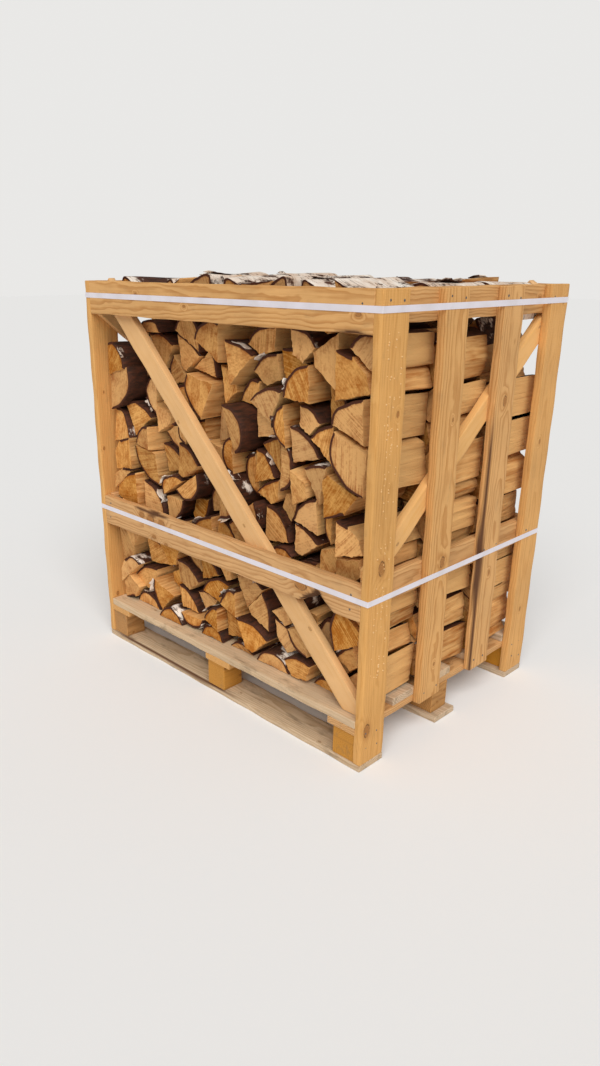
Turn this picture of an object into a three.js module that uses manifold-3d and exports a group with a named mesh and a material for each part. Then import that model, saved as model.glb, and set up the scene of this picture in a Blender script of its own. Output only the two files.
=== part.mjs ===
// A crate of split birch firewood: a nailed softwood pallet with slatted walls, two plastic straps
// drawn round it, and three rows of logs lying front to back inside.
// Millimetres, +Z up. The origin is on the floor under the middle of the crate, the front faces -Y.

import * as THREE from 'three';
import { mergeVertices } from 'three/addons/utils/BufferGeometryUtils.js';
import Module from 'manifold-3d';

// The crate's outside
const CRATE_WIDTH = 1120;
const CRATE_DEPTH = 800;
const CRATE_HEIGHT = 1160;

// Sawn stock
const BOARD = 22; // thickness of posts, slats, rails and braces
const POST_WIDTH = 92;
const FRONT_RAIL_WIDTH = 92;
const END_RAIL_WIDTH = 72;
const BRACE_WIDTH = 46;
const GAP = 0.3; // between pieces that touch

// Pallet, from the floor up
const BOTTOM_BOARD = 18;
const BLOCK_HEIGHT = 79.4;
const STRINGER = 20;
const DECK = 22;
const BLOCK_SIDE = 72;
const BOTTOM_BOARD_WIDTH = 94;
const DECK_BOARD_WIDTH = 97;
const DECK_BOARD_STARTS = [0, 158, 325, 514, 703]; // from the front edge
const BOTTOM_BOARD_STARTS = { front: 0, middle: 331, back: 706 };
const BLOCK_STARTS = { front: 3, middle: 341, back: 725 };
const STRINGER_WIDTHS = { left: 94, middle: 107, right_inner: 50, right_outer: 41.7 };
const MIDDLE_STRINGER_LEFT = 515;

// Heights on the walls
const POST_FOOT = BOTTOM_BOARD + GAP;
const FRONT_SLAT_FOOT = 98;
const BACK_SLAT_FOOT = 105;
const FRONT_MID_RAIL = 412; // lower edge
const END_MID_RAIL = 437; // lower edge
const TOP_SHORT = 1; // slats and long-wall braces end this much under the posts' tops
const STRAP_HEIGHTS = { top_strap: 1119.7, middle_strap: 465.7 };
const STRAP_WIDTH = 14.3;
const STRAP_THICKNESS = 0.8;
const STRAP_BEND = 1.2; // outer radius where it is drawn tight round a post

// The two slats of an end wall: middle of the slat from the front, and its lean off plumb
const SLATS = { front: { middle: 282, lean: 1.1 }, back: { middle: 529, lean: 0.9 } };

// Slope lines of the braces, where they cross the wall's own axes
const FRONT_BRACE_SUM = 1210.5; // distance from the left plus height, on the middle line of the brace
const END_BRACE_RISE = 0.785;
const END_BRACE_AT = { depth: 131, height: 591.5 };

// Firewood, from the crate's left side and from its front
const LOG_ROOM = { left: 45, right: 1075 };
const ROW_FACES = { front: [0, 272], middle: [276, 524], back: [528, CRATE_DEPTH] };
const LOG_END = { free: 24, behind_brace: 46.6, spread: 28, spread_behind_brace: 12, spread_by_wall: 4.2 };
const BY_WALL = 25; // free logs this near an end wall lie almost flush
const LOG_TRIM = 5; // sawn off past a row's straight face
const LOG_SWELL = 6.5; // the outlines are swollen by this much to fuse where logs touch
const LOOSE_FIT = 1.5; // taken off the loose logs on top
const PILE_TOP = 1181;
const TOP_COURSE_BASE = 1070;
// Corners where the pile is lower: logs that start between these distances stop at the top given
const LOW_CORNERS = {
  front: { from: 0, to: 120, top: 1005 },
  back: { from: 970, to: CRATE_WIDTH, top: 945 },
};
const ROW_SEEDS = { front: 7, middle: 19, back: 31 };

// Ways a log is split: its share of the pile, radius under the bark, angle between the splits, where
// it ends inwards (at the pith, in a straight cut, or in a face this far from the pith), and the
// number of flats along the bark
const SPLITS = [
  { share: 0.36, radius: [82, 116], angle: [68, 106], inner: 'pith', flats: 3 },
  { share: 0.14, radius: [58, 80], angle: [146, 176], inner: 'straight', flats: 4 },
  { share: 0.08, radius: [70, 88], angle: [105, 135], inner: 'straight', flats: 3 },
  { share: 0.2, radius: [100, 130], angle: [48, 74], inner: [24, 50], flats: 2 },
  { share: 0.1, radius: [100, 130], angle: [42, 60], inner: 'pith', flats: 2 },
  { share: 0.12, radius: [92, 124], angle: [50, 74], inner: [26, 48], flats: 1 },
];
const BARK_UP = { body: 0.55, top: 1 }; // share of the logs laid with their bark upwards
const BARK_UP_SPREAD = 100; // degrees
const PITH_SHIFT = 10;
const INNER_CORNER = [0.4, 0.65]; // as a share of the angle between the splits

// Stacking: the width of a column of the skyline, how many logs are tried for each place, how far a
// better one is looked for, and what counts against a log besides the empty room under it
const COLUMN = 2;
const VALLEY_STEP = 12;
const FIRST_TRIES = 240;
const ROUNDS = 8;
const ROUND_TRIES = 30;
const REACH = { first: 0.5, last: 0.04 };
const TURN_REACH = 52; // degrees
const PENALTY = { depth: 0.0011, height: 0.0006, steepness: 0.05 };

// Growth into the room left over: steps that a corner creeps outwards, the least that a side bulges,
// how far two logs may press into each other, and how far off a log can't touch
const GROWTH_STEPS = 12;
const GROWTH_STEP = 2;
const BULGE = 8;
const PRESS = 1.5;
const NEAR = 240;

const DEG = Math.PI / 180;
const HALF_WIDTH = CRATE_WIDTH / 2;
const HALF_DEPTH = CRATE_DEPTH / 2;
const BLOCK_BASE = BOTTOM_BOARD + GAP;
const STRINGER_BASE = BLOCK_BASE + BLOCK_HEIGHT + GAP;
const DECK_BASE = STRINGER_BASE + STRINGER + GAP;
const DECK_TOP = DECK_BASE + DECK;

const wasm = await Module();
wasm.setup();

const finish = (color, roughness) => new THREE.MeshStandardMaterial({ color, roughness, metalness: 0 });
const FINISHES = {
  crate: finish(0xcf9d59, 0.7),
  brace: finish(0xe0b277, 0.7),
  block: finish(0xb9772f, 0.75),
  pallet: finish(0xbfa27c, 0.8),
  strap: finish(0xdcd6da, 0.4),
  firewood: finish(0xc89c58, 0.85),
};

const crate = new THREE.Group();

function addMesh(parent, name, geometry, material) {
  const mesh = new THREE.Mesh(geometry, material);
  mesh.name = name;
  parent.add(mesh);
  return mesh;
}

// A straight board between two corners, given from the crate's left, front and floor.
function addBoard(parent, name, low, high, material) {
  const size = low.map((value, i) => high[i] - value);
  const mesh = addMesh(parent, name, new THREE.BoxGeometry(...size), material);
  mesh.position.set(
    (low[0] + high[0]) / 2 - HALF_WIDTH,
    (low[1] + high[1]) / 2 - HALF_DEPTH,
    (low[2] + high[2]) / 2,
  );
  return mesh;
}

function extrude(points, length) {
  const shape = new THREE.Shape(points.map(([x, y]) => new THREE.Vector2(x, y)));
  return new THREE.ExtrudeGeometry(shape, { depth: length, bevelEnabled: false });
}

// Pallet: bottom boards, blocks, stringers and deck
function addPallet() {
  const left = BOARD + GAP;
  const right = CRATE_WIDTH - BOARD - GAP;
  const blockLefts = { left, middle: (CRATE_WIDTH - BLOCK_SIDE) / 2, right: right - BLOCK_SIDE };

  for (const [row, start] of Object.entries(BOTTOM_BOARD_STARTS)) {
    const low = [0, start, 0];
    const high = [CRATE_WIDTH, start + BOTTOM_BOARD_WIDTH, BOTTOM_BOARD];
    addBoard(crate, `bottom_board_${row}`, low, high, FINISHES.pallet);
    for (const [side, x] of Object.entries(blockLefts)) {
      const y = BLOCK_STARTS[row];
      const blockLow = [x, y, BLOCK_BASE];
      const blockHigh = [x + BLOCK_SIDE, y + BLOCK_SIDE, BLOCK_BASE + BLOCK_HEIGHT];
      addBoard(crate, `block_${row}_${side}`, blockLow, blockHigh, FINISHES.block);
    }
  }

  const outerLeft = right - STRINGER_WIDTHS.right_outer;
  const stringerLefts = {
    left,
    middle: MIDDLE_STRINGER_LEFT,
    right_inner: outerLeft - GAP - STRINGER_WIDTHS.right_inner,
    right_outer: outerLeft,
  };
  for (const [side, x] of Object.entries(stringerLefts)) {
    const low = [x, 0, STRINGER_BASE];
    const high = [x + STRINGER_WIDTHS[side], CRATE_DEPTH, STRINGER_BASE + STRINGER];
    addBoard(crate, `stringer_${side}`, low, high, FINISHES.crate);
  }

  DECK_BOARD_STARTS.forEach((start, i) => {
    const low = [left, start, DECK_BASE];
    const high = [right, start + DECK_BOARD_WIDTH, DECK_TOP];
    addBoard(crate, `deck_board_${i + 1}`, low, high, FINISHES.pallet);
  });
}

// A brace lying in a wall: the outline is in the wall's own plane, across and up.
function addBrace(parent, name, points, turn, place) {
  const mesh = addMesh(parent, name, extrude(points, BOARD), FINISHES.brace);
  mesh.rotation.set(90 * DEG, 0, turn, 'ZYX');
  mesh.position.copy(place);
  return mesh;
}

// A long wall as seen from outside: two rails between the posts, and a brace behind them that falls
// from the top left to the deck at the bottom right.
function addLongWall(side) {
  const wall = new THREE.Group();
  const left = BOARD + GAP;
  const right = CRATE_WIDTH - BOARD - GAP;
  const rails = { top: CRATE_HEIGHT - FRONT_RAIL_WIDTH, mid: FRONT_MID_RAIL };
  for (const [level, z] of Object.entries(rails)) {
    const high = [right, BOARD, z + FRONT_RAIL_WIDTH];
    addBoard(wall, `${side}_${level}_rail`, [left, 0, z], high, FINISHES.crate);
  }
  const reach = BRACE_WIDTH / Math.SQRT2;
  const lower = FRONT_BRACE_SUM - reach;
  const upper = FRONT_BRACE_SUM + reach;
  const inner = 2 * BOARD + 2 * GAP;
  const top = CRATE_HEIGHT - TOP_SHORT;
  const foot = DECK_TOP + GAP;
  const outline = [
    [inner, lower - inner],
    [lower - foot, foot],
    [right, foot],
    [right, upper - right],
    [upper - top, top],
    [inner, top],
  ];
  const place = new THREE.Vector3(-HALF_WIDTH, 2 * BOARD + GAP - HALF_DEPTH, 0);
  addBrace(wall, `${side}_brace`, outline, 0, place);
  crate.add(wall);
  return wall;
}

// An end wall as seen from outside: posts and slats with a top rail, a middle rail and a brace on
// their inner sides. Near and far are the wall's left and right ends.
function addEndWall(side, near, far) {
  const wall = new THREE.Group();
  const outer = CRATE_WIDTH;
  const inner = outer - BOARD;
  const posts = { [near]: 0, [far]: CRATE_DEPTH - POST_WIDTH };
  for (const [end, y] of Object.entries(posts)) {
    const high = [outer, y + POST_WIDTH, CRATE_HEIGHT];
    addBoard(wall, `${side}_post_${end}`, [inner, y, POST_FOOT], high, FINISHES.crate);
  }
  const slats = { [near]: [SLATS.front, FRONT_SLAT_FOOT], [far]: [SLATS.back, BACK_SLAT_FOOT] };
  for (const [end, [{ middle, lean }, foot]] of Object.entries(slats)) {
    const y = middle - POST_WIDTH / 2;
    const high = [outer, y + POST_WIDTH, CRATE_HEIGHT - TOP_SHORT];
    const slat = addBoard(wall, `${side}_slat_${end}`, [inner, y, foot], high, FINISHES.crate);
    slat.rotation.x = lean * DEG;
  }
  const railOuter = inner - GAP;
  const railInner = railOuter - BOARD;
  const railEnd = BOARD + GAP;
  const rails = { top: CRATE_HEIGHT - END_RAIL_WIDTH, mid: END_MID_RAIL };
  for (const [level, z] of Object.entries(rails)) {
    const high = [railOuter, CRATE_DEPTH - railEnd, z + END_RAIL_WIDTH];
    addBoard(wall, `${side}_${level}_rail`, [railInner, railEnd, z], high, FINISHES.crate);
  }

  const half = (BRACE_WIDTH / 2) * Math.hypot(1, END_BRACE_RISE);
  const lift = END_BRACE_AT.height - END_BRACE_RISE * END_BRACE_AT.depth;
  const depthAt = (height, offset) => (height - lift - offset) / END_BRACE_RISE;
  const heightAt = (depth, offset) => lift + offset + END_BRACE_RISE * depth;
  const foot = END_MID_RAIL + END_RAIL_WIDTH + GAP;
  const top = CRATE_HEIGHT - END_RAIL_WIDTH - GAP;
  const start = railEnd + GAP;
  const stop = CRATE_DEPTH - railEnd - GAP;
  const outline = [
    [start, foot],
    [depthAt(foot, -half), foot],
    [stop, heightAt(stop, -half)],
    [stop, top],
    [depthAt(top, half), top],
    [start, heightAt(start, half)],
  ];
  const place = new THREE.Vector3(railInner - HALF_WIDTH, -HALF_DEPTH, 0);
  addBrace(wall, `${side}_brace`, outline, 90 * DEG, place);
  crate.add(wall);
  return wall;
}

// A strap: a thin band round the four corner posts, bent tight at the corners.
function addStrap(name, height) {
  const loop = (out, radius) => {
    const x = HALF_WIDTH + out;
    const y = HALF_DEPTH + out;
    const path = new THREE.Path();
    path.moveTo(-x + radius, -y);
    path.absarc(x - radius, -y + radius, radius, -90 * DEG, 0);
    path.absarc(x - radius, y - radius, radius, 0, 90 * DEG);
    path.absarc(-x + radius, y - radius, radius, 90 * DEG, 180 * DEG);
    path.absarc(-x + radius, -y + radius, radius, 180 * DEG, 270 * DEG);
    return path.getPoints(2).slice(0, -1);
  };
  const band = new THREE.Shape(loop(GAP + STRAP_THICKNESS, STRAP_BEND));
  band.holes.push(new THREE.Path(loop(GAP, STRAP_BEND - STRAP_THICKNESS)));
  const geometry = new THREE.ExtrudeGeometry(band, { depth: STRAP_WIDTH, bevelEnabled: false });
  addMesh(crate, name, geometry, FINISHES.strap).position.z = height - STRAP_WIDTH / 2;
}

// Numbers between 0 and 1 that come out the same on every run.
function makeRandom(seed) {
  let state = seed >>> 0;
  return () => {
    state = (Math.imul(state, 1664525) + 1013904223) >>> 0;
    return state / 2 ** 32;
  };
}

const between = ([low, high], share) => low + (high - low) * share;
const clamp = (value, low, high) => Math.max(low, Math.min(high, value));

// A log as drawn by lot: its kind of split, its proportions from 0 to 1, and where its bark faces.
function drawLog(random, upright) {
  const lots = Array.from({ length: 9 }, random);
  let share = lots[0];
  let kind = 0;
  while (kind < SPLITS.length - 1 && share >= SPLITS[kind].share) {
    share -= SPLITS[kind].share;
    kind += 1;
  }
  const facesUp = lots[1] < upright;
  const turn = facesUp ? 90 + BARK_UP_SPREAD * (lots[2] - 0.5) : 360 * lots[2];
  return { kind, turn, sizes: lots.slice(3) };
}

// The same kind of log with its proportions and turn changed a little.
function varyLog(random, log, reach) {
  const sizes = log.sizes.map((size) => clamp(size + reach * (random() - 0.5), 0, 1));
  return { kind: log.kind, turn: log.turn + TURN_REACH * reach * (random() - 0.5), sizes };
}

// The end of a log round its pith: an arc of bark, then the corners of the split faces.
function logOutline({ kind, turn, sizes }) {
  const { radius, angle, inner, flats } = SPLITS[kind];
  const bark = between(radius, sizes[0]);
  const spread = between(angle, sizes[1]);
  const at = (distance, degrees) => {
    return [distance * Math.cos(degrees * DEG), distance * Math.sin(degrees * DEG)];
  };
  const points = [];
  for (let i = 0; i <= flats; i += 1) {
    points.push(at(bark, turn + spread * (i / flats - 0.5)));
  }
  if (inner === 'pith') {
    points.push([PITH_SHIFT * (sizes[3] - 0.5), PITH_SHIFT * (sizes[4] - 0.5)]);
  } else if (inner !== 'straight') {
    const distance = between(inner, sizes[2]);
    points.push(at(distance, turn + spread * between(INNER_CORNER, sizes[3])));
    points.push(at(distance, turn - spread * between(INNER_CORNER, sizes[4])));
  }
  return points;
}

// Lower and upper edge of a convex outline at each column that it covers.
function columnEdges(points, left, count) {
  const low = new Float64Array(count).fill(-Infinity);
  const high = new Float64Array(count).fill(Infinity);
  points.forEach((a, i) => {
    const b = points[(i + 1) % points.length];
    const run = b[0] - a[0];
    if (run === 0) return;
    const slope = (b[1] - a[1]) / run;
    for (let c = 0; c < count; c += 1) {
      const height = a[1] + slope * (left + c * COLUMN - a[0]);
      if (run > 0) low[c] = Math.max(low[c], height);
      else high[c] = Math.min(high[c], height);
    }
  });
  return { low, high };
}

// Lowers a log onto the skyline over a valley. The score is low where it leaves little empty room
// under it, lies deep, and keeps a level top.
function setDown(log, sky, valley, limitAt) {
  const outline = logOutline(log);
  const across = outline.map(([x]) => x);
  const left = Math.min(...across);
  const span = Math.floor((Math.max(...across) - left) / COLUMN);
  const slide = log.sizes[5];
  const wanted = Math.floor(valley.left + slide * (valley.right - valley.left - span) + 0.5);
  const start = clamp(wanted, 0, sky.length - 1 - span);
  const { low, high } = columnEdges(outline, left, span + 1);

  let lift = -Infinity;
  for (let c = 0; c <= span; c += 1) lift = Math.max(lift, sky[start + c] - low[c] + GAP);
  let empty = 0;
  let area = 0;
  let top = -Infinity;
  let steep = 0;
  for (let c = 0; c <= span; c += 1) {
    empty += (lift + low[c] - sky[start + c]) * COLUMN;
    area += (high[c] - low[c]) * COLUMN;
    top = Math.max(top, lift + high[c]);
    if (c > 0) steep += Math.abs(high[c] - high[c - 1]) / span;
  }
  if (top > limitAt(LOG_ROOM.left + start * COLUMN)) return null;
  const depth = lift + low[Math.floor(span / 2)] - valley.floor;
  const rise = top - valley.floor;
  const against = PENALTY.depth * depth + PENALTY.height * rise + PENALTY.steepness * steep;
  const score = empty / area + against;
  const shift = [LOG_ROOM.left + start * COLUMN - left, lift];
  return { log, score, start, roof: high.map((height) => height + lift), outline, shift };
}

// The lowest open place on the skyline, as wide as it stays nearly level.
function findValley(sky, closed) {
  let lowest = -1;
  for (let c = 0; c < sky.length; c += 1) {
    if (!closed[c] && (lowest < 0 || sky[c] < sky[lowest])) lowest = c;
  }
  if (lowest < 0) return null;
  const level = sky[lowest] + VALLEY_STEP;
  let left = lowest;
  let right = lowest;
  while (left > 0 && sky[left - 1] < level) left -= 1;
  while (right < sky.length - 1 && sky[right + 1] < level) right += 1;
  return { left, right, floor: sky[lowest] };
}

// Stacks logs on a skyline until no more go under the limit. Each is the best of many drawn by lot,
// bettered in a few rounds of small changes. Returns their outlines, from the crate's left and floor.
function stackLogs(random, sky, limitAt, upright) {
  const closed = new Uint8Array(sky.length);
  const outlines = [];
  for (let valley = findValley(sky, closed); valley; valley = findValley(sky, closed)) {
    let best = null;
    const offer = (log) => {
      const tried = setDown(log, sky, valley, limitAt);
      return tried && (!best || tried.score < best.score) ? tried : best;
    };
    for (let i = 0; i < FIRST_TRIES; i += 1) best = offer(drawLog(random, upright));
    if (!best) {
      closed.fill(1, valley.left, valley.right + 1);
      continue;
    }
    for (let round = 0; round < ROUNDS; round += 1) {
      const reach = REACH.first * (1 - round / ROUNDS) + REACH.last;
      const base = best.log;
      for (let i = 0; i < ROUND_TRIES; i += 1) best = offer(varyLog(random, base, reach));
    }
    sky.set(best.roof, best.start);
    outlines.push(best.outline.map(([x, z]) => [x + best.shift[0], z + best.shift[1]]));
  }
  return outlines;
}

const corner = (points, i) => points[(i + points.length) % points.length];

// The direction out of an outline at the side between two of its corners.
function outward([x0, z0], [x1, z1]) {
  const length = Math.hypot(x1 - x0, z1 - z0);
  return [(z1 - z0) / length, (x0 - x1) / length];
}

function middleOf(points) {
  const sum = points.reduce(([x, z], point) => [x + point[0], z + point[1]], [0, 0]);
  return sum.map((value) => value / points.length);
}

// Moves a corner of an outline away from the outline's middle.
function pushOut([x, z], middle, amount) {
  const stretch = 1 + amount / Math.hypot(x - middle[0], z - middle[1]);
  return [middle[0] + (x - middle[0]) * stretch, middle[1] + (z - middle[1]) * stretch];
}

// Moves every side of an outline outwards. A sharp corner moves no more than twice as far as its sides.
function swell(points, amount) {
  return points.map((point, i) => {
    const before = outward(corner(points, i - 1), point);
    const after = outward(point, corner(points, i + 1));
    const sum = [before[0] + after[0], before[1] + after[1]];
    const length = Math.hypot(...sum);
    const away = Math.min(2 / length, 2) * amount;
    return [point[0] + (sum[0] / length) * away, point[1] + (sum[1] / length) * away];
  });
}

// How far a point lies inside the line through two corners of an outline.
function inside([x0, z0], [x1, z1], [x, z]) {
  return ((x1 - x0) * (z - z0) - (z1 - z0) * (x - x0)) / Math.hypot(x1 - x0, z1 - z0);
}

function isConvex(points) {
  return points.every((point, i) => inside(corner(points, i - 1), point, corner(points, i + 1)) > 0);
}

// Two logs are clear of each other when a side of one has the other wholly outside it.
function areClear(a, b) {
  const parts = (sides, others) =>
    sides.some((point, i) => others.every((other) => inside(point, corner(sides, i + 1), other) <= PRESS));
  return parts(a, b) || parts(b, a);
}

function isInRoom([x, z]) {
  return x > LOG_ROOM.left && x < LOG_ROOM.right && z > DECK_TOP + GAP;
}

// Lets the stacked logs fill the room left between them. Their corners creep outwards while the log
// stays convex, inside the walls and clear of its neighbours. Then the sides that face a gap get a
// corner of their own, and all creep on.
function growLogs(outlines) {
  const grown = [...outlines];
  const change = (i, points, k) => {
    const isNear = (other) => Math.hypot(other[0][0] - points[k][0], other[0][1] - points[k][1]) < NEAR;
    const isClear = (other, j) => j === i || !isNear(other) || areClear(points, other);
    if (isInRoom(points[k]) && isConvex(points) && grown.every(isClear)) grown[i] = points;
  };
  const creep = () => {
    for (let i = 0; i < grown.length; i += 1) {
      for (let k = 0; k < grown[i].length; k += 1) {
        const moved = pushOut(grown[i][k], middleOf(grown[i]), GROWTH_STEP);
        change(i, grown[i].with(k, moved), k);
      }
    }
  };
  const bulge = () => {
    for (let i = 0; i < grown.length; i += 1) {
      for (let k = grown[i].length - 1; k >= 0; k -= 1) {
        const [x0, z0] = grown[i][k];
        const [x1, z1] = corner(grown[i], k + 1);
        const [outX, outZ] = outward([x0, z0], [x1, z1]);
        const added = [(x0 + x1) / 2 + BULGE * outX, (z0 + z1) / 2 + BULGE * outZ];
        change(i, grown[i].toSpliced(k + 1, 0, added), k + 1);
      }
    }
  };
  for (let step = 0; step < GROWTH_STEPS; step += 1) creep();
  bulge();
  for (let step = 0; step < GROWTH_STEPS; step += 1) creep();
  return grown;
}

// Lifts the skyline to the upper edge of an outline.
function raiseSky(sky, points) {
  const columns = points.map(([x]) => (x - LOG_ROOM.left) / COLUMN);
  const start = clamp(Math.floor(Math.min(...columns)), 0, sky.length - 1);
  const stop = clamp(Math.ceil(Math.max(...columns)), 0, sky.length - 1);
  const { high } = columnEdges(points, LOG_ROOM.left + start * COLUMN, stop - start + 1);
  high.forEach((height, c) => {
    sky[start + c] = Math.max(sky[start + c], height);
  });
}

// How far a log's outer end stands back from the outside of its long wall.
function outerEnd(random, points, fromRight) {
  const sums = points.map(([x, z]) => (fromRight ? CRATE_WIDTH - x : x) + z);
  const reach = BRACE_WIDTH / Math.SQRT2 + 2 * LOG_SWELL;
  const below = Math.max(...sums) < FRONT_BRACE_SUM - reach;
  const above = Math.min(...sums) > FRONT_BRACE_SUM + reach;
  const lot = random();
  if (!below && !above) return LOG_END.behind_brace + LOG_END.spread_behind_brace * lot;
  const across = points.map(([x]) => x);
  const fromWall = Math.min(Math.min(...across) - LOG_ROOM.left, LOG_ROOM.right - Math.max(...across));
  return LOG_END.free + (fromWall < BY_WALL ? LOG_END.spread_by_wall : LOG_END.spread) * lot;
}

// A log lying front to back between two distances from the crate's front.
function logGeometry(points, front, back) {
  const geometry = extrude(points, back - front);
  geometry.rotateX(90 * DEG);
  geometry.translate(-HALF_WIDTH, back - HALF_DEPTH, 0);
  return geometry;
}

function toSolid(geometry) {
  geometry.deleteAttribute('normal');
  geometry.deleteAttribute('uv');
  const merged = mergeVertices(geometry, 1e-4);
  const vertProperties = new Float32Array(merged.attributes.position.array);
  const triVerts = new Uint32Array(merged.index.array);
  return new wasm.Manifold(new wasm.Mesh({ numProp: 3, vertProperties, triVerts }));
}

function toGeometry(solid) {
  const { vertProperties, triVerts } = solid.getMesh();
  const geometry = new THREE.BufferGeometry();
  geometry.setAttribute('position', new THREE.BufferAttribute(vertProperties, 3));
  geometry.setIndex(new THREE.BufferAttribute(triVerts, 1));
  geometry.computeVertexNormals();
  return geometry;
}

// A row of stacked logs, fused where they touch and kept inside the walls and the row's two faces.
function addRow(name, logs, [rowFront, rowBack]) {
  const room = new THREE.BoxGeometry(LOG_ROOM.right - LOG_ROOM.left, rowBack - rowFront, CRATE_HEIGHT);
  room.translate(
    (LOG_ROOM.left + LOG_ROOM.right) / 2 - HALF_WIDTH,
    (rowFront + rowBack) / 2 - HALF_DEPTH,
    DECK_TOP + GAP + CRATE_HEIGHT / 2,
  );
  const solids = logs.map(({ points, front, back }) => {
    return toSolid(logGeometry(swell(points, LOG_SWELL), front, back));
  });
  const row = solids.reduce((fused, solid) => fused.add(solid)).intersect(toSolid(room));
  addMesh(crate, name, toGeometry(row), FINISHES.firewood);
}

// The three rows. The front row's top course lies loose on it, each log a piece of its own.
function addFirewood() {
  const columns = Math.floor((LOG_ROOM.right - LOG_ROOM.left) / COLUMN) + 1;
  for (const [name, seed] of Object.entries(ROW_SEEDS)) {
    const random = makeRandom(seed);
    const low = LOW_CORNERS[name];
    const limit = (top) => (x) => (low && x > low.from && x < low.to ? Math.min(top, low.top) : top);
    const sky = new Float64Array(columns).fill(DECK_TOP + GAP);
    const body = growLogs(stackLogs(random, sky, limit(TOP_COURSE_BASE), BARK_UP.body));
    body.forEach((points) => raiseSky(sky, swell(points, LOG_SWELL)));
    const top = stackLogs(random, sky, limit(PILE_TOP), BARK_UP.top);

    const [rowFront, rowBack] = ROW_FACES[name];
    const place = (points) => {
      const end = outerEnd(random, points, name === 'back');
      const front = name === 'front' ? end : rowFront - LOG_TRIM;
      const back = name === 'back' ? CRATE_DEPTH - end : rowBack + LOG_TRIM;
      return { points, front, back };
    };
    const bodyLogs = body.map(place);
    const topLogs = top.map(place);
    const rowLogs = name === 'front' ? bodyLogs : [...bodyLogs, ...topLogs];
    addRow(`firewood_${name}_row`, rowLogs, ROW_FACES[name]);
    if (name !== 'front') continue;
    topLogs.forEach(({ points, front }, i) => {
      const number = String(i + 1).padStart(2, '0');
      const geometry = logGeometry(swell(points, -LOOSE_FIT), front, rowBack);
      addMesh(crate, `top_log_${number}`, geometry, FINISHES.firewood);
    });
  }
}

addPallet();
addLongWall('front');
addLongWall('back').rotation.z = 180 * DEG;
addEndWall('right', 'front', 'back');
addEndWall('left', 'back', 'front').rotation.z = 180 * DEG;
for (const [name, height] of Object.entries(STRAP_HEIGHTS)) {
  addStrap(name, height);
}
addFirewood();

export default crate;
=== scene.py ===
"""A crate of split birch firewood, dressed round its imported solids.

Lengths are metres in the crate's own frame: the origin is on the floor under the middle of the crate,
+Z is up and the front faces -Y. Only the stacking of the logs is worked out in millimetres, from the
crate's left side and the floor.
"""

import functools
import math

import bpy
import numpy as np
from bpy.props import FloatProperty, FloatVectorProperty, IntProperty, PointerProperty
from mathutils import Matrix, Vector


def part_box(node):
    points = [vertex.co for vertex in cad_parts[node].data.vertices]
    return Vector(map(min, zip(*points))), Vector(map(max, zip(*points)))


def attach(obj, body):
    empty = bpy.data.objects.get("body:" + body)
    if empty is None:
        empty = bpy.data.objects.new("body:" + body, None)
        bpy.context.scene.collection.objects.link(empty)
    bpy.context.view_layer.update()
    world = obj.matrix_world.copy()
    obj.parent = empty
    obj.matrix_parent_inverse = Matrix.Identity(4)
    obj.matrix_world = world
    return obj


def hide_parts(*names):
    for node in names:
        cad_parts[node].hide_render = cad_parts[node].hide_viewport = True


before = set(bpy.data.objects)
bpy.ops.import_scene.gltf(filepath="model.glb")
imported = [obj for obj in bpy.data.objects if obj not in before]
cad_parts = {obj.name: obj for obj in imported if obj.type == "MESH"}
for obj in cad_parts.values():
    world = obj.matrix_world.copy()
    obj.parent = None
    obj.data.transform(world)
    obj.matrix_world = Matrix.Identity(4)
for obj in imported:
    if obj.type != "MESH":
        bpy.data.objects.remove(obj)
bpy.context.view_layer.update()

bl_info = {
    "name": "Crate of Firewood",
    "version": (1, 0, 0),
    "blender": (4, 5, 0),
    "location": "3D View > Sidebar > Firewood",
    "description": "A rough-sawn pallet crate, strapped round and stacked full of split birch",
    "category": "Add Mesh",
}

MM = 0.001
DEG = math.pi / 180


def linear(code):
    """An sRGB hex colour as the linear red, green, blue and alpha that shaders take."""
    parts = [int(code[i:i + 2], 16) / 255 for i in (1, 3, 5)]
    return (*(p / 12.92 if p <= 0.04045 else ((p + 0.055) / 1.055) ** 2.4 for p in parts), 1.0)


def colour(name, description, code):
    """A colour that a user may change, as a property."""
    return FloatVectorProperty(
        name=name, description=description, default=linear(code), size=4, subtype="COLOR", min=0, max=1
    )


def per(*sizes):
    """The scale of a pattern from its size in millimetres, one for all directions or one for each."""
    scales = tuple(1 / (size * MM) for size in sizes)
    return scales if len(scales) > 1 else scales[0]


def length(name, description, millimetres):
    """A length that a user may change, as a property."""
    return FloatProperty(name=name, description=description, default=millimetres * MM, unit="LENGTH")


class SawnBoardSettings(bpy.types.PropertyGroup):
    """Sizes and colours of the crate's boards."""

    eased_edge: length("Eased edge", "Radius of the worn arrises", 1.6)
    bow: length("Bow", "How far a board strays from straight", 1.4)
    ring_width: length("Ring width", "Growth rings, drawn wide enough to show", 6)
    knot_spacing: length("Knot spacing", "Mean distance between knots along a board", 330)
    early_wood: colour("Early wood", "Pale part of a growth ring", "#D7A467")
    late_wood: colour("Late wood", "Dark part of a growth ring", "#B0763A")
    knot_wood: colour("Knot", "Heart of a knot", "#85552B")
    bark_edge: colour("Bark edge", "What is left of the bark on a waney edge", "#5B3A22")
    nail_head: length("Nail head", "Width of a nail's head", 7)
    resin_drops: IntProperty(name="Resin drops", description="Drops on the front post", default=120, min=1)
    brace_wood: colour("Brace wood", "Pale, fresh wood of the braces", "#DFB27E")
    pallet_wood: colour("Pallet wood", "Greyed wood of the pallet's boards", "#D0B594")
    block_wood: colour("Block wood", "Wood of the pallet's blocks", "#C08A48")


class StrapSettings(bpy.types.PropertyGroup):
    """Looks of the two straps."""

    emboss: length("Emboss", "Spacing of the pressed waffle pattern", 2.2)
    plastic: colour("Plastic", "Polypropylene strapping", "#E1DBE1")


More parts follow.
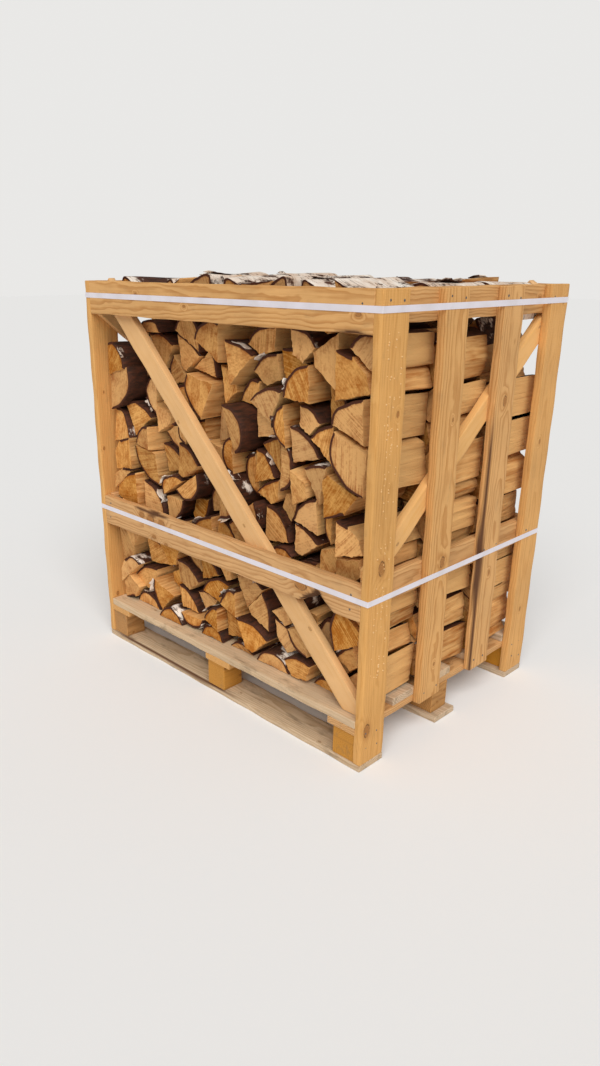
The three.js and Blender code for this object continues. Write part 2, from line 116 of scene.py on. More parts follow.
class FirewoodSettings(bpy.types.PropertyGroup):
    """Sizes and colours of the split logs."""

    inner_spread: length("Inner ends", "How unevenly the logs end inside the pile", 12)
    outer_spread: length("Outer ends", "How far back a log's end may stand", 60)
    roughness: length("Roughness", "How far a split face strays from flat", 1.6)
    ring_width: length("Ring width", "Growth rings, drawn wide enough to show", 4.2)
    end_grain: colour("End grain", "Sawn ends of the logs", "#DAA25C")
    dark_end: colour("Dark end grain", "Darker, browner sawn ends", "#AA692C")
    split_wood: colour("Split wood", "Long split faces", "#E0AE6E")
    inner_bark: colour("Inner bark", "Red-brown bark under the paper", "#5A301C")
    paper_bark: colour("Paper bark", "White outer bark", "#F4E9DB")
    bark_marks: colour("Bark marks", "Dark lines and scars on the white bark", "#4B382C")
    curls: IntProperty(name="Bark curls", description="Loose strips of bark", default=46, min=0)


class StageSettings(bpy.types.PropertyGroup):
    """Camera, floor and light."""

    camera_place: FloatVectorProperty(
        name="Camera", description="Where the camera stands", default=(1.5858, -1.7152, 1.2021), subtype="XYZ"
    )
    floor: colour("Floor", "Plain pale floor", "#F2F1EF")
    fill: FloatProperty(name="Fill", description="Light from all round", default=0.28, min=0)
    key: FloatProperty(name="Key", description="Light from the softbox", default=2.75, min=0)
    softness: FloatProperty(
        name="Softness", description="Width of the softbox, seen from the crate",
        default=50 * DEG, unit="ROTATION",
    )
    light_from: FloatVectorProperty(
        name="Light from", description="Where the softbox stands",
        default=(0.5, -0.52, 0.72), subtype="DIRECTION",
    )


def add(tree, kind, inputs=None, **settings):
    """Adds a shader node, sets it and links it: an input is given a value, an output or another node, which
    stands for its first output."""
    node = tree.nodes.new("ShaderNode" + kind)
    for name, value in settings.items():
        setattr(node, name, value)
    for key, value in (inputs or {}).items():
        if isinstance(value, bpy.types.Node):
            value = value.outputs[0]
        if isinstance(value, bpy.types.NodeSocket):
            tree.links.new(value, node.inputs[key])
        else:
            node.inputs[key].default_value = value
    return node


def new_material(name):
    """An empty material and its node tree."""
    material = bpy.data.materials.new(name)
    material.use_nodes = True
    material.node_tree.nodes.clear()
    return material, material.node_tree


def new_piece(name, points, faces, materials, face_material=None, attributes=None, corner=None):
    """A mesh from whole arrays, riding on the crate. Attributes are per point, corner ones per corner."""
    mesh = bpy.data.meshes.new(name)
    loops = np.concatenate([part.ravel() for part in faces]).astype(np.int32)
    sizes = np.concatenate([np.full(len(part), part.shape[1]) for part in faces]).astype(np.int32)
    mesh.vertices.add(len(points))
    mesh.vertices.foreach_set("co", np.ascontiguousarray(points, np.float32).ravel())
    mesh.loops.add(len(loops))
    mesh.loops.foreach_set("vertex_index", loops)
    mesh.polygons.add(len(sizes))
    mesh.polygons.foreach_set("loop_start", np.concatenate([[0], np.cumsum(sizes)[:-1]]).astype(np.int32))
    mesh.polygons.foreach_set("loop_total", sizes)
    for material in materials:
        mesh.materials.append(material)
    if face_material is not None:
        mesh.polygons.foreach_set("material_index", face_material.astype(np.int32))
    for domain, group in (("POINT", attributes or {}), ("CORNER", corner or {})):
        for key, values in group.items():
            is_vector = np.ndim(values) == 2
            layer = mesh.attributes.new(key, "FLOAT_VECTOR" if is_vector else "FLOAT", domain)
            layer.data.foreach_set("vector" if is_vector else "value", np.asarray(values, np.float32).ravel())
    mesh.update(calc_edges=True)
    mesh.validate()
    mesh.shade_smooth()
    mesh.set_sharp_from_angle(angle=math.radians(34))
    piece = bpy.data.objects.new(name, mesh)
    bpy.context.scene.collection.objects.link(piece)
    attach(piece, "root")
    return piece


# Boards

BOARD_STEP = 10 * MM  # between stations along a board
ACROSS = 11  # points across a board's face
THROUGH = 3  # points through its thickness
KNOT_REACH = 4.0  # the grain bends round a knot for this many radii


def rounded_section(half_width, half_thickness, ease):
    """A rectangle with rounded corners, as points across and through, going round once.
    Each side is a straight run between two corners, and each corner adds the middle of its arc."""
    v = np.linspace(-half_width + ease, half_width - ease, ACROSS)
    w = np.linspace(-half_thickness + ease, half_thickness - ease, THROUGH)
    bit = ease * (1 - math.sqrt(0.5))
    sides = [
        (v, np.full(ACROSS, -half_thickness)),
        ([half_width - bit], [-half_thickness + bit]),
        (np.full(THROUGH, half_width), w),
        ([half_width - bit], [half_thickness - bit]),
        (v[::-1], np.full(ACROSS, half_thickness)),
        ([-half_width + bit], [half_thickness - bit]),
        (np.full(THROUGH, -half_width), w[::-1]),
        ([-half_width + bit], [-half_thickness + bit]),
    ]
    return np.array([np.concatenate([s[0] for s in sides]), np.concatenate([s[1] for s in sides])])


def node_corners(node):
    """The corners of a node's solid, each once."""
    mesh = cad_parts[node].data
    points = np.empty(3 * len(mesh.vertices), np.float32)
    mesh.vertices.foreach_get("co", points)
    return np.unique(points.reshape(-1, 3).astype(float).round(6), axis=0)


def board_axes(corners, along=None):
    """Directions along, across and through a board. Along is found from the spread of its corners, longest
    first, unless it is given; then through is the thinnest way."""
    spread = np.linalg.svd(corners - corners.mean(0), full_matrices=False)[2]
    axes = [axis * np.sign(axis[np.argmax(np.abs(axis))]) for axis in spread]
    if along is not None:
        axes[0] = np.array(along) / np.linalg.norm(along)
        axes[2] = np.eye(3)[np.argmin(np.where(np.abs(axes[0]) < 1e-6, np.ptp(corners, axis=0), np.inf))]
    axes[1] = np.cross(axes[2], axes[0])
    return np.array([axes[0], axes[1], np.cross(axes[0], axes[1])])


def cut_ends(corners, across):
    """Where a board's two ends lie along it at each distance across: the least and the greatest crossing of
    the lines between its corners, seen flat."""
    flat = np.unique(corners[:, :2].round(5), axis=0)
    a, b = (flat[i] for i in np.triu_indices(len(flat), 1))
    keep = np.abs(a[:, 1] - b[:, 1]) > 1e-6
    a, b = a[keep], b[keep]
    limit = np.clip(across, flat[:, 1].min(), flat[:, 1].max())[:, None]
    share = (limit - a[:, 1]) / (b[:, 1] - a[:, 1])
    crossing = a[:, 0] + share * (b[:, 0] - a[:, 0])
    inside = (share >= -1e-6) & (share <= 1 + 1e-6)
    return np.where(inside, crossing, np.inf).min(1), np.where(inside, crossing, -np.inf).max(1)


def sawn_board(node, seed, material, settings, along=None, tones=(0, 1)):
    """A sawn board in place of a node: a rounded section carried along the board between its cut ends, with a
    slow bow, a faint saw wobble, and waney edges where the corner of the section is planed off at a slant by
    depth times a bell along the board."""
    random = np.random.default_rng(seed)
    corners = node_corners(node)
    middle = (corners.min(0) + corners.max(0)) / 2
    axes = board_axes(corners, along)
    local = (corners - middle) @ axes.T
    half = np.abs(local).max(0)
    ease = settings.eased_edge
    v, w = rounded_section(half[1], half[2], ease)
    start, stop = cut_ends(local, v)

    count = int(np.ceil(2 * half[0] / BOARD_STEP)) + 1
    share = np.linspace(0, 1, count)[:, None]
    s = start + ease + share * (stop - start - 2 * ease)
    s = np.vstack([start, s, stop])
    shrink = np.ones((count + 2, 1))
    shrink[[0, -1]] = 1 - ease / half[2]
    v = v * (1 - (1 - shrink) * half[2] / half[1])
    w = w * shrink

    bark = np.zeros_like(s)
    for side_v, side_w, at, reach, depth in WANES.get(node, ()):
        bell = np.exp(-(((s - at) / reach) ** 4)) * (1 + 0.25 * np.sin(s / (0.21 * reach) + seed))
        short = depth * bell - (half[1] - side_v * v) - 0.8 * (half[2] - side_w * w)
        push = np.clip(short, 0, None)
        v = v - side_v * 0.6 * push
        w = w - side_w * 0.5 * push
        bark = np.maximum(bark, np.clip(short / 0.004, 0, 1))

    phase = random.uniform(0, 2 * math.pi, 6)
    turn = s / (2 * half[0]) * math.pi
    bow = settings.bow * random.uniform(-1, 1, 2)
    wobble = 0.00035 * np.sin(s / 0.023 + phase[0]) + 0.0003 * np.sin(s / 0.057 + phase[1] + 30 * v)
    local_v = v + bow[0] * (np.cos(turn) - 0.4) + wobble * np.sign(v) * 1.5
    local_w = w + 0.5 * bow[1] * (np.cos(turn) - 0.4) + wobble * np.sign(w)

    ring = np.stack([s, local_v, local_w], axis=-1)
    caps = ring[[0, -1]].mean(1)
    points = np.vstack([ring.reshape(-1, 3), caps])
    rows, columns = s.shape
    index = np.arange(rows * columns).reshape(rows, columns)
    after = np.roll(index, -1, axis=1)
    sides = np.stack([index[:-1], after[:-1], after[1:], index[1:]], axis=-1).reshape(-1, 4)
    first = np.stack([np.full(columns, rows * columns), after[0], index[0]], axis=-1)
    last = np.stack([np.full(columns, rows * columns + 1), index[-1], after[-1]], axis=-1)

    number = max(2, int(2 * half[0] / settings.knot_spacing))
    place = (np.arange(number) + random.uniform(0.1, 0.9, number)) / number
    knots = np.stack([
        (2 * place - 1) * half[0],
        random.uniform(-0.8, 0.8, number) * half[1],
        random.uniform(1.8, 4.5, number) * MM,
    ], axis=-1)
    if node in KNOTS:
        knots = [(*((np.array(place) - middle) @ axes.T)[:2], radius) for *place, radius in KNOTS[node]]
    knots = np.asarray(knots, float)
    flat = np.vstack([np.stack([s, v, w], axis=-1).reshape(-1, 3), caps])
    loops = [flat[part] for part in (sides, first, last)]
    beside = []
    for part in loops:
        gap = np.linalg.norm(part.mean(1)[:, None, :2] - knots[:, :2], axis=-1)
        near = knots[np.argmin(gap / knots[:, 2], axis=1)]
        offset = (part[:, :, :2] - near[:, None, :2]) / near[:, None, 2:]
        beside.append(np.concatenate([offset, part[:, :, 2:]], axis=-1).reshape(-1, 3))

    pith = np.array([random.uniform(0, 9), random.uniform(-0.6, 0.6) * half[1], 0.0])
    pith[2] = random.choice([-1, 1]) * random.uniform(0.018, 0.07)
    fields = {
        "grain": flat + pith,
        "wane": np.append(bark.ravel(), [0, 0]),
        "tone": np.full(len(points), random.uniform(*tones)),
    }
    piece = new_piece(
        f"{node}_board", points @ axes + middle, [sides, first, last], [material],
        attributes=fields, corner={"knot": np.vstack(beside)},
    )
    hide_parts(node)
    return piece


def sawn_pine(name, settings, pale, dark, dirt, saw_marks):
    """Rough-sawn pine off a band saw: growth rings cut into long flames and stripes, knots that the grain
    bends round, fine marks across the board, fuzzy fibres and a dull, dry surface."""
    material, tree = new_material(name)
    grain = add(tree, "Attribute", attribute_name="grain").outputs["Vector"]
    knot = add(tree, "Attribute", attribute_name="knot").outputs["Vector"]
    tone = add(tree, "Attribute", attribute_name="tone").outputs["Fac"]
    wane = add(tree, "Attribute", attribute_name="wane").outputs["Fac"]
    place = add(tree, "SeparateXYZ", {0: grain})
    beside = add(tree, "SeparateXYZ", {0: knot})
    flat_knot = add(tree, "CombineXYZ", {0: beside.outputs[0], 1: beside.outputs[1]})
    squeeze = add(tree, "VectorMath", {0: flat_knot, 1: (0.62, 1, 1)}, operation="MULTIPLY")
    radii = add(tree, "VectorMath", {0: squeeze}, operation="LENGTH").outputs["Value"]

    slow = add(tree, "VectorMath", {0: grain, 1: per(450, 70, 70)}, operation="MULTIPLY")
    drift = add(tree, "TexNoise", {"Vector": slow, "Scale": 1.0, "Detail": 3.0})
    across = add(tree, "CombineXYZ", {0: place.outputs[1], 1: place.outputs[2]})
    out = add(tree, "VectorMath", {0: across}, operation="LENGTH").outputs["Value"]
    drifted = add(tree, "Math", {0: drift, 1: 26 * MM, 2: out}, operation="MULTIPLY_ADD")
    quick = add(tree, "VectorMath", {0: grain, 1: per(77, 38, 38)}, operation="MULTIPLY")
    ripple = add(tree, "TexNoise", {"Vector": quick, "Scale": 1.0, "Detail": 2.0})
    wavy = add(tree, "Math", {0: ripple, 1: 8 * MM, 2: drifted}, operation="MULTIPLY_ADD")
    taper = add(tree, "Math", {0: place.outputs[0], 1: 0.017, 2: wavy}, operation="MULTIPLY_ADD")
    bend = add(tree, "MapRange", {
        0: radii, 1: 0.6, 2: KNOT_REACH, 3: 12 * MM, 4: 0.0,
    }, interpolation_type="SMOOTHSTEP")
    bent = add(tree, "Math", {0: taper, 1: bend}, operation="ADD")
    rings = add(tree, "Math", {0: bent, 1: settings.ring_width}, operation="DIVIDE")
    part = add(tree, "Math", {0: rings}, operation="FRACT").outputs[0]
    rise = add(tree, "MapRange", {0: part, 1: 0.25, 2: 0.86, 3: 0.0, 4: 1.0}, interpolation_type="SMOOTHSTEP")
    fall = add(tree, "MapRange", {0: part, 1: 0.88, 2: 1.0, 3: 1.0, 4: 0.0}, interpolation_type="SMOOTHSTEP")
    late = add(tree, "Math", {0: rise, 1: fall}, operation="MULTIPLY")

    # Fibres are finer than this; they are drawn as coarse as they need to show
    fibre_place = add(tree, "VectorMath", {0: grain, 1: per(110, 3.8, 3.8)}, operation="MULTIPLY")
    fibre = add(tree, "TexNoise", {"Vector": fibre_place, "Scale": 1.0, "Detail": 4.0})
    streak = add(tree, "MapRange", {0: fibre, 1: 0.3, 2: 0.7, 3: -0.22, 4: 0.22})
    bold = add(tree, "MapRange", {0: tone, 1: 0.44, 2: 0.56, 3: 0.62, 4: 0.26})
    shade = add(tree, "Math", {0: late, 1: bold, 2: streak}, operation="MULTIPLY_ADD")
    wood = add(tree, "Mix", {0: shade, 6: pale, 7: dark}, data_type="RGBA")

    cloud = add(tree, "TexNoise", {"Vector": grain, "Scale": per(200), "Detail": 5.0, "Roughness": 0.6})
    level = add(tree, "Math", {0: tone, 1: 0.35, 2: cloud}, operation="MULTIPLY_ADD")
    bright = add(tree, "MapRange", {0: level, 1: 0.3, 2: 1.05, 3: 0.84, 4: 1.16})
    rich = add(tree, "MapRange", {0: tone, 3: 0.92, 4: 1.12})
    toned = add(tree, "HueSaturation", {"Color": wood.outputs[2], "Value": bright, "Saturation": rich})

    smudge_place = add(tree, "VectorMath", {0: grain, 1: per(90, 30, 30)}, operation="MULTIPLY")
    smudge = add(tree, "TexNoise", {"Vector": smudge_place, "Scale": 1.0, "Detail": 6.0, "Roughness": 0.65})
    smudged = add(tree, "MapRange", {
        0: smudge, 1: 0.62 - 0.14 * dirt, 2: 0.74 - 0.08 * dirt, 3: 0.0, 4: dirt,
    })
    dirty = add(tree, "Mix", {0: smudged, 6: toned, 7: linear("#6F5B45")}, data_type="RGBA")

    core = add(tree, "MapRange", {0: radii, 1: 0.7, 2: 1.2, 3: 0.75, 4: 0.0}, interpolation_type="SMOOTHSTEP")
    halo = add(tree, "MapRange", {0: radii, 1: 0.8, 2: 2.4, 3: 0.5, 4: 0.0}, interpolation_type="SMOOTHSTEP")
    rim_near = add(tree, "MapRange", {
        0: radii, 1: 0.8, 2: 1.0, 3: 0.0, 4: 0.9,
    }, interpolation_type="SMOOTHSTEP")
    rim_far = add(tree, "MapRange", {
        0: radii, 1: 1.0, 2: 1.25, 3: 1.0, 4: 0.0,
    }, interpolation_type="SMOOTHSTEP")
    rim_whole = add(tree, "Math", {0: rim_near, 1: rim_far}, operation="MULTIPLY")
    broken = add(tree, "TexNoise", {"Vector": knot, "Scale": 1.1, "Detail": 2.0})
    rim_share = add(tree, "MapRange", {0: broken, 1: 0.42, 2: 0.62, 3: 0.1, 4: 0.95})
    rim = add(tree, "Math", {0: rim_whole, 1: rim_share}, operation="MULTIPLY")
    knot_turns = add(tree, "Math", {0: radii, 1: 0.17}, operation="PINGPONG")
    knot_ring = add(tree, "MapRange", {0: knot_turns, 1: 0.0, 2: 0.17, 3: 0.1, 4: 0.9})
    knot_tint = add(tree, "Mix", {0: knot_ring, 6: dark, 7: settings.knot_wood}, data_type="RGBA")
    warm = add(tree, "Mix", {0: halo, 6: dirty.outputs[2], 7: dark}, data_type="RGBA")
    hearted = add(tree, "Mix", {0: core, 6: warm.outputs[2], 7: knot_tint.outputs[2]}, data_type="RGBA")
    rimmed = add(tree, "Mix", {0: rim, 6: hearted.outputs[2], 7: linear("#43270F")}, data_type="RGBA")
    bark = add(tree, "Mix", {0: wane, 6: rimmed.outputs[2], 7: settings.bark_edge}, data_type="RGBA")

    # A wave of scale 1 repeats every pi / 10
    saw = add(tree, "TexWave", {
        "Vector": grain, "Scale": math.pi / 10 * per(5.7),
        "Distortion": 2.2, "Detail": 2.0, "Detail Scale": 0.6,
    })
    cut = add(tree, "Math", {0: saw.outputs["Fac"], 1: saw_marks, 2: fibre}, operation="MULTIPLY_ADD")
    raised = add(tree, "Math", {0: late, 1: 0.5, 2: cut}, operation="MULTIPLY_ADD")
    bump = add(tree, "Bump", {"Height": raised, "Strength": 0.6, "Distance": 0.7 * MM})
    dull = add(tree, "MapRange", {0: fibre, 3: 0.62, 4: 0.86})
    shader = add(tree, "BsdfPrincipled", {
        "Base Color": bark.outputs[2], "Roughness": dull, "Normal": bump, "Specular IOR Level": 0.3,
    })
    add(tree, "OutputMaterial", {0: shader})
    return material


RAILS = [f"{side}_{level}_rail" for side in ("front", "back", "right", "left") for level in ("top", "mid")]
UPRIGHTS = [
    f"{side}_{kind}_{end}"
    for side in ("right", "left") for kind in ("post", "slat") for end in ("front", "back")
]
# The way each brace runs: down to the right on the front wall, up to the back on the right wall
BRACES = {
    "front_brace": (1, 0, -1), "back_brace": (1, 0, 1),
    "right_brace": (0, 1, 0.785), "left_brace": (0, 1, -0.785),
}
STRINGERS = [f"stringer_{side}" for side in ("left", "middle", "right_inner", "right_outer")]
PALLET_BOARDS = [f"deck_board_{i}" for i in range(1, 6)]
PALLET_BOARDS += [f"bottom_board_{row}" for row in ("front", "middle", "back")]
BLOCKS = [
    f"block_{row}_{side}" for row in ("front", "middle", "back") for side in ("left", "middle", "right")
]

# How rich the wood of each kind of board is, from greyed to golden
BOARD_TONES = {"rail": (0.0, 0.4), "slat": (0.2, 0.5), "post": (0.5, 0.75)}
# Waney edges: side across, side through, middle, half length and depth from the board's own middle
WANES = {
    "front_mid_rail": [(1, -1, 0.395, 0.042, 0.036), (1, 1, 0.4, 0.05, 0.02), (-1, -1, -0.285, 0.075, 0.011)],
    "front_top_rail": [(1, -1, 0.48, 0.05, 0.006)],
    "right_slat_back": [(1, 1, -0.2, 0.36, 0.011)],
    "bottom_board_front": [(-1, 1, -0.2, 0.3, 0.008)],
    "back_mid_rail": [(1, 1, -0.1, 0.2, 0.016)],
    "left_slat_front": [(1, -1, 0.1, 0.3, 0.014)],
}
# Knots that the picture shows: where they are, and their radius
KNOTS = {
    "front_mid_rail": [
        (-0.335, -0.4, 0.484, 0.008), (-0.29, -0.4, 0.48, 0.011), (-0.235, -0.4, 0.479, 0.009),
        (-0.276, -0.4, 0.426, 0.006), (-0.217, -0.4, 0.416, 0.005), (0.345, -0.4, 0.452, 0.012),
    ],
    "right_post_front": [
        (0.56, -0.355, 0.545, 0.011), (0.56, -0.378, 0.115, 0.011), (0.56, -0.33, 0.9, 0.004),
    ],
    "right_slat_front": [(0.56, -0.103, 0.495, 0.009), (0.56, -0.11, 0.86, 0.003), (0.56, -0.1, 0.2, 0.003)],
    "right_slat_back": [(0.56, 0.126, 0.879, 0.008), (0.56, 0.14, 0.4, 0.004)],
}


class CRATE_OT_walls(bpy.types.Operator):
    """Saw the posts, slats and rails of the four walls"""

    bl_idname = "crate.walls"
    bl_label = "Walls"

    def execute(self, context):
        settings = context.scene.crate_boards
        pine = sawn_pine("rough_sawn_pine", settings, settings.early_wood, settings.late_wood, 0.25, 0.35)
        for number, node in enumerate(RAILS + UPRIGHTS):
            tones = next(value for kind, value in BOARD_TONES.items() if kind in node)
            sawn_board(node, 100 + number, pine, settings, tones=tones)
        return {"FINISHED"}


class CRATE_OT_braces(bpy.types.Operator):
    """Saw the diagonal braces"""

    bl_idname = "crate.braces"
    bl_label = "Braces"

    def execute(self, context):
        settings = context.scene.crate_boards
        fresh = sawn_pine("fresh_sawn_pine", settings, settings.brace_wood, settings.early_wood, 0.1, 0.2)
        for number, (node, along) in enumerate(BRACES.items()):
            sawn_board(node, 200 + number, fresh, settings, along=along)
        return {"FINISHED"}


class CRATE_OT_pallet(bpy.types.Operator):
    """Saw the pallet's boards, stringers and blocks"""

    bl_idname = "crate.pallet"
    bl_label = "Pallet"

    def execute(self, context):
        settings = context.scene.crate_boards
        grey = sawn_pine("weathered_pallet_pine", settings, settings.pallet_wood, linear("#AD8C66"), 0.6, 0.5)
        blocks = sawn_pine("pallet_block_pine", settings, settings.block_wood, linear("#9A6327"), 0.4, 0.4)
        stringers = sawn_pine("stringer_pine", settings, settings.early_wood, settings.late_wood, 0.35, 0.4)
        for number, node in enumerate(PALLET_BOARDS):
            sawn_board(node, 300 + number, grey, settings)
        for number, node in enumerate(STRINGERS):
            sawn_board(node, 330 + number, stringers, settings)
        for number, node in enumerate(BLOCKS):
            sawn_board(node, 350 + number, blocks, settings, along=(0, 1, 0))
        return {"FINISHED"}


def studs(name, places, out, radius, height, material):
    """Small domes set on a face as one mesh: a foot of eight points, a shoulder of eight and a crown, each
    ring a circle in the face."""
    out = np.asarray(out, float)
    side = np.cross(out, np.where(np.abs(out[:, 2:]) > 0.5, [[1.0, 0, 0]], [[0, 0, 1.0]]))
    up = np.cross(out, side)
    turn = np.arange(8) * math.pi / 4
    circle = np.cos(turn)[:, None] * side[:, None] + np.sin(turn)[:, None] * up[:, None]
    radius, height = (np.broadcast_to(value, len(places))[:, None, None] for value in (radius, height))
    base, rise = np.asarray(places)[:, None], out[:, None]
    rings = [
        base + circle * radius - rise * height,
        base + circle * 0.7 * radius + rise * 0.7 * height,
        base + rise * height,
    ]
    points = np.concatenate(rings, axis=1)
    index = np.arange(8)
    after = np.roll(index, -1)
    quads = np.stack([index, after, 8 + after, 8 + index], axis=-1)
    fans = np.stack([8 + index, 8 + after, np.full(8, 16)], axis=-1)
    shift = (np.arange(len(points)) * 17)[:, None, None]
    faces = [(quads + shift).reshape(-1, 4), (fans + shift).reshape(-1, 3)]
    return new_piece(name, points.reshape(-1, 3), faces, [material])


# Heights of the nails on posts and slats, their distance from a rail's end, and the rows of resin on the
# front post, from its back edge
NAIL_LEVELS = {"post": (0.06, 0.1, 0.475, 1.135), "slat": (0.13, 0.475, 1.135)}
NAIL_FROM_END = 0.03
RESIN_ROWS = (0.019, 0.038, 0.041, 0.055, 0.066)


class CRATE_OT_nails(bpy.types.Operator):
    """Drive the nails, and let resin weep from the front post"""

    bl_idname = "crate.nails"
    bl_label = "Nails and resin"

    def execute(self, context):
        settings = context.scene.crate_boards
        random = np.random.default_rng(61)
        places, outs = [], []
        for node in UPRIGHTS:
            corners = node_corners(node)
            middle, axes = corners.mean(0), board_axes(corners)
            face = np.sign(middle[0])
            for level in NAIL_LEVELS["post" if "post" in node else "slat"]:
                step = (level - middle[2]) / axes[0, 2] + random.uniform(-0.008, 0.008, 2)
                across = np.array([-0.24, 0.24]) * np.ptp(corners[:, 1]) + random.uniform(-0.006, 0.006, 2)
                for along, aside in zip(step, across):
                    place = middle + along * axes[0] + aside * axes[1]
                    place[0] = face * np.abs(corners[:, 0]).max()
                    places.append(place)
                    outs.append((face, 0, 0))
        for node in RAILS[:4]:
            low, high = (np.array(corner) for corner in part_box(node))
            face = np.sign(low[1] + high[1])
            for end in (-1, 1):
                for share in (0.3, 0.72):
                    jitter = random.uniform(-0.006, 0.006, 2)
                    level = low[2] + share * (high[2] - low[2]) + jitter[1]
                    across = end * (high[0] - NAIL_FROM_END) + jitter[0]
                    places.append((across, face * np.abs([low[1], high[1]]).max(), level))
                    outs.append((0, face, 0))
        steel, tree = new_material("nail_steel")
        # Bright flat heads that have begun to dull
        shader = add(tree, "BsdfPrincipled", {
            "Base Color": linear("#6E6A66"), "Metallic": 0.9, "Roughness": 0.42,
        })
        add(tree, "OutputMaterial", {0: shader})
        studs("nail_heads", places, outs, settings.nail_head / 2, 0.6 * MM, steel)

        amber, tree = new_material("pine_resin")
        # Amber drops that shine and catch the light
        shader = add(tree, "BsdfPrincipled", {"Base Color": linear("#E6BC80"), "Roughness": 0.3})
        add(tree, "OutputMaterial", {0: shader})
        high = np.array(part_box("right_post_front")[1])
        rows = random.choice(RESIN_ROWS, settings.resin_drops)
        drops = np.stack([
            np.full(settings.resin_drops, high[0]),
            high[1] - rows + random.normal(0, 0.0012, settings.resin_drops),
            random.uniform(0.25, 1.08, settings.resin_drops),
        ], axis=-1)
        size = random.uniform(1.4, 2.8, settings.resin_drops) * MM
        studs("resin_drops", drops, np.tile([1.0, 0, 0], (len(drops), 1)), size, 0.7 * size, amber)
        return {"FINISHED"}


class CRATE_OT_straps(bpy.types.Operator):
    """Finish the two straps that are drawn round the crate"""

    bl_idname = "crate.straps"
    bl_label = "Straps"

    def execute(self, context):
        settings = context.scene.crate_straps
        material, tree = new_material("polypropylene_strapping")
        place = add(tree, "TexCoord").outputs["Object"]
        # White drawn tape: half gloss along it, dulled by a pressed waffle and a little road dust
        waffle = add(tree, "TexVoronoi", {"Vector": place, "Scale": 1 / settings.emboss, "Randomness": 0.0})
        dust = add(tree, "TexNoise", {"Vector": place, "Scale": per(70), "Detail": 4.0})
        amount = add(tree, "MapRange", {0: dust, 1: 0.45, 2: 0.75, 3: 0.0, 4: 0.35})
        tint = add(tree, "Mix", {0: amount, 6: settings.plastic, 7: linear("#BDB3AC")}, data_type="RGBA")
        bump = add(tree, "Bump", {
            "Height": waffle.outputs["Distance"], "Strength": 0.25, "Distance": 0.3 * MM,
        })
        gloss = add(tree, "MapRange", {0: dust, 3: 0.3, 4: 0.5})
        shader = add(tree, "BsdfPrincipled", {
            "Base Color": tint.outputs[2], "Roughness": gloss, "Normal": bump, "IOR": 1.49,
        })
        add(tree, "OutputMaterial", {0: shader})
        for node in ("top_strap", "middle_strap"):
            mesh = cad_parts[node].data
            mesh.materials.clear()
            mesh.materials.append(material)
        return {"FINISHED"}


# Firewood: the logs are drawn by the same lots and laid down by the same rules as the solids' logs, in
# millimetres from the crate's left side and the floor

CRATE_WIDTH = 1120.0
CRATE_DEPTH = 800.0
GAP = 0.3  # under a log that is set down
LOG_ROOM = (45.0, 1075.0)  # between the end walls
LOG_FLOOR = 140.6
# Each row's seed, its front and back, the corner where it stays low and the end wall it lies tight against
ROWS = {
    "front": {"seed": 7, "faces": (0.0, 272.0), "low_corner": (0.0, 120.0, 1005.0), "tight_wall": 0},
    "middle": {"seed": 19, "faces": (276.0, 524.0), "low_corner": (0.0, 0.0, 1181.0), "tight_wall": 0},
    "back": {"seed": 31, "faces": (528.0, 800.0), "low_corner": (970.0, 1120.0, 945.0), "tight_wall": 1},
}
TOP_COURSE_BASE = 1070.0
PILE_TOP = 1181.0
LOG_SWELL = 6.5  # what the solids' logs gain on their stacked outlines
# How far a log's outer end stands back, at least and by lot
LOG_END = {
    "free": 24.0, "behind_brace": 46.6, "spread": 28.0, "spread_behind_brace": 12.0, "spread_by_wall": 4.2,
}
BRACE_WIDTH = 46.0
FRONT_BRACE_SUM = 1210.5  # distance from the left plus height, all along the brace's middle

# Ways a log is split: share of the pile, radius, angle, where it ends inwards, and flats along the bark
SPLITS = [
    (0.36, (82, 116), (68, 106), "pith", 3),
    (0.14, (58, 80), (146, 176), "straight", 4),
    (0.08, (70, 88), (105, 135), "straight", 3),
    (0.2, (100, 130), (48, 74), (24, 50), 2),
    (0.1, (100, 130), (42, 60), "pith", 2),
    (0.12, (92, 124), (50, 74), (26, 48), 1),
]
MOST_CORNERS = 5  # of a log as it is split
MOST_GROWN = 2 * MOST_CORNERS
BARK_UP = {"body": 0.55, "top": 1.0}  # share of the logs that lie with their bark up
BARK_UP_SPREAD = 100  # degrees
PITH_SHIFT = 10
INNER_CORNER = (0.4, 0.65)  # shares of the log's angle
COLUMN = 2  # width of a step of the skyline
VALLEY_STEP = 12  # a valley is as wide as the skyline rises less than this
FIRST_TRIES = 240
LOTS_PER_LOG = 9
# Rounds of small changes to the best log, which get finer
ROUNDS = 8
ROUND_TRIES = 30
LOTS_PER_CHANGE = 7
REACH = (0.5, 0.04)
TURN_REACH = 52  # degrees
PENALTY = {"depth": 0.0011, "height": 0.0006, "steepness": 0.05}
GROWTH_STEPS = 12
SHOWN_GROWTH = 5  # steps after which the scene's logs stop growing
BY_WALL = 60  # bark this near an end wall is turned away from it
FLUSH_BY_WALL = 25  # logs this near an end wall end nearly flush
SHOWN_SWELL = {"inside": -5.0, "tight": 2.0, "top": -1.0}  # what a shown log gains on its stacked outline
TOP_BARK = (-0.4, -0.4, 0.3, -0.4)  # height of the direction that the steepest bark on a top log faces
# How far the white paper is worn off the bark, 1 is nearly all
BARE = {"body": (0.58, 1.0), "top": (0.0, 0.5)}
GROWTH_STEP = 2
BULGE = 8
PRESS = 1.5  # how far neighbours may press into each other
NEAR = 240  # logs further apart than this can't touch


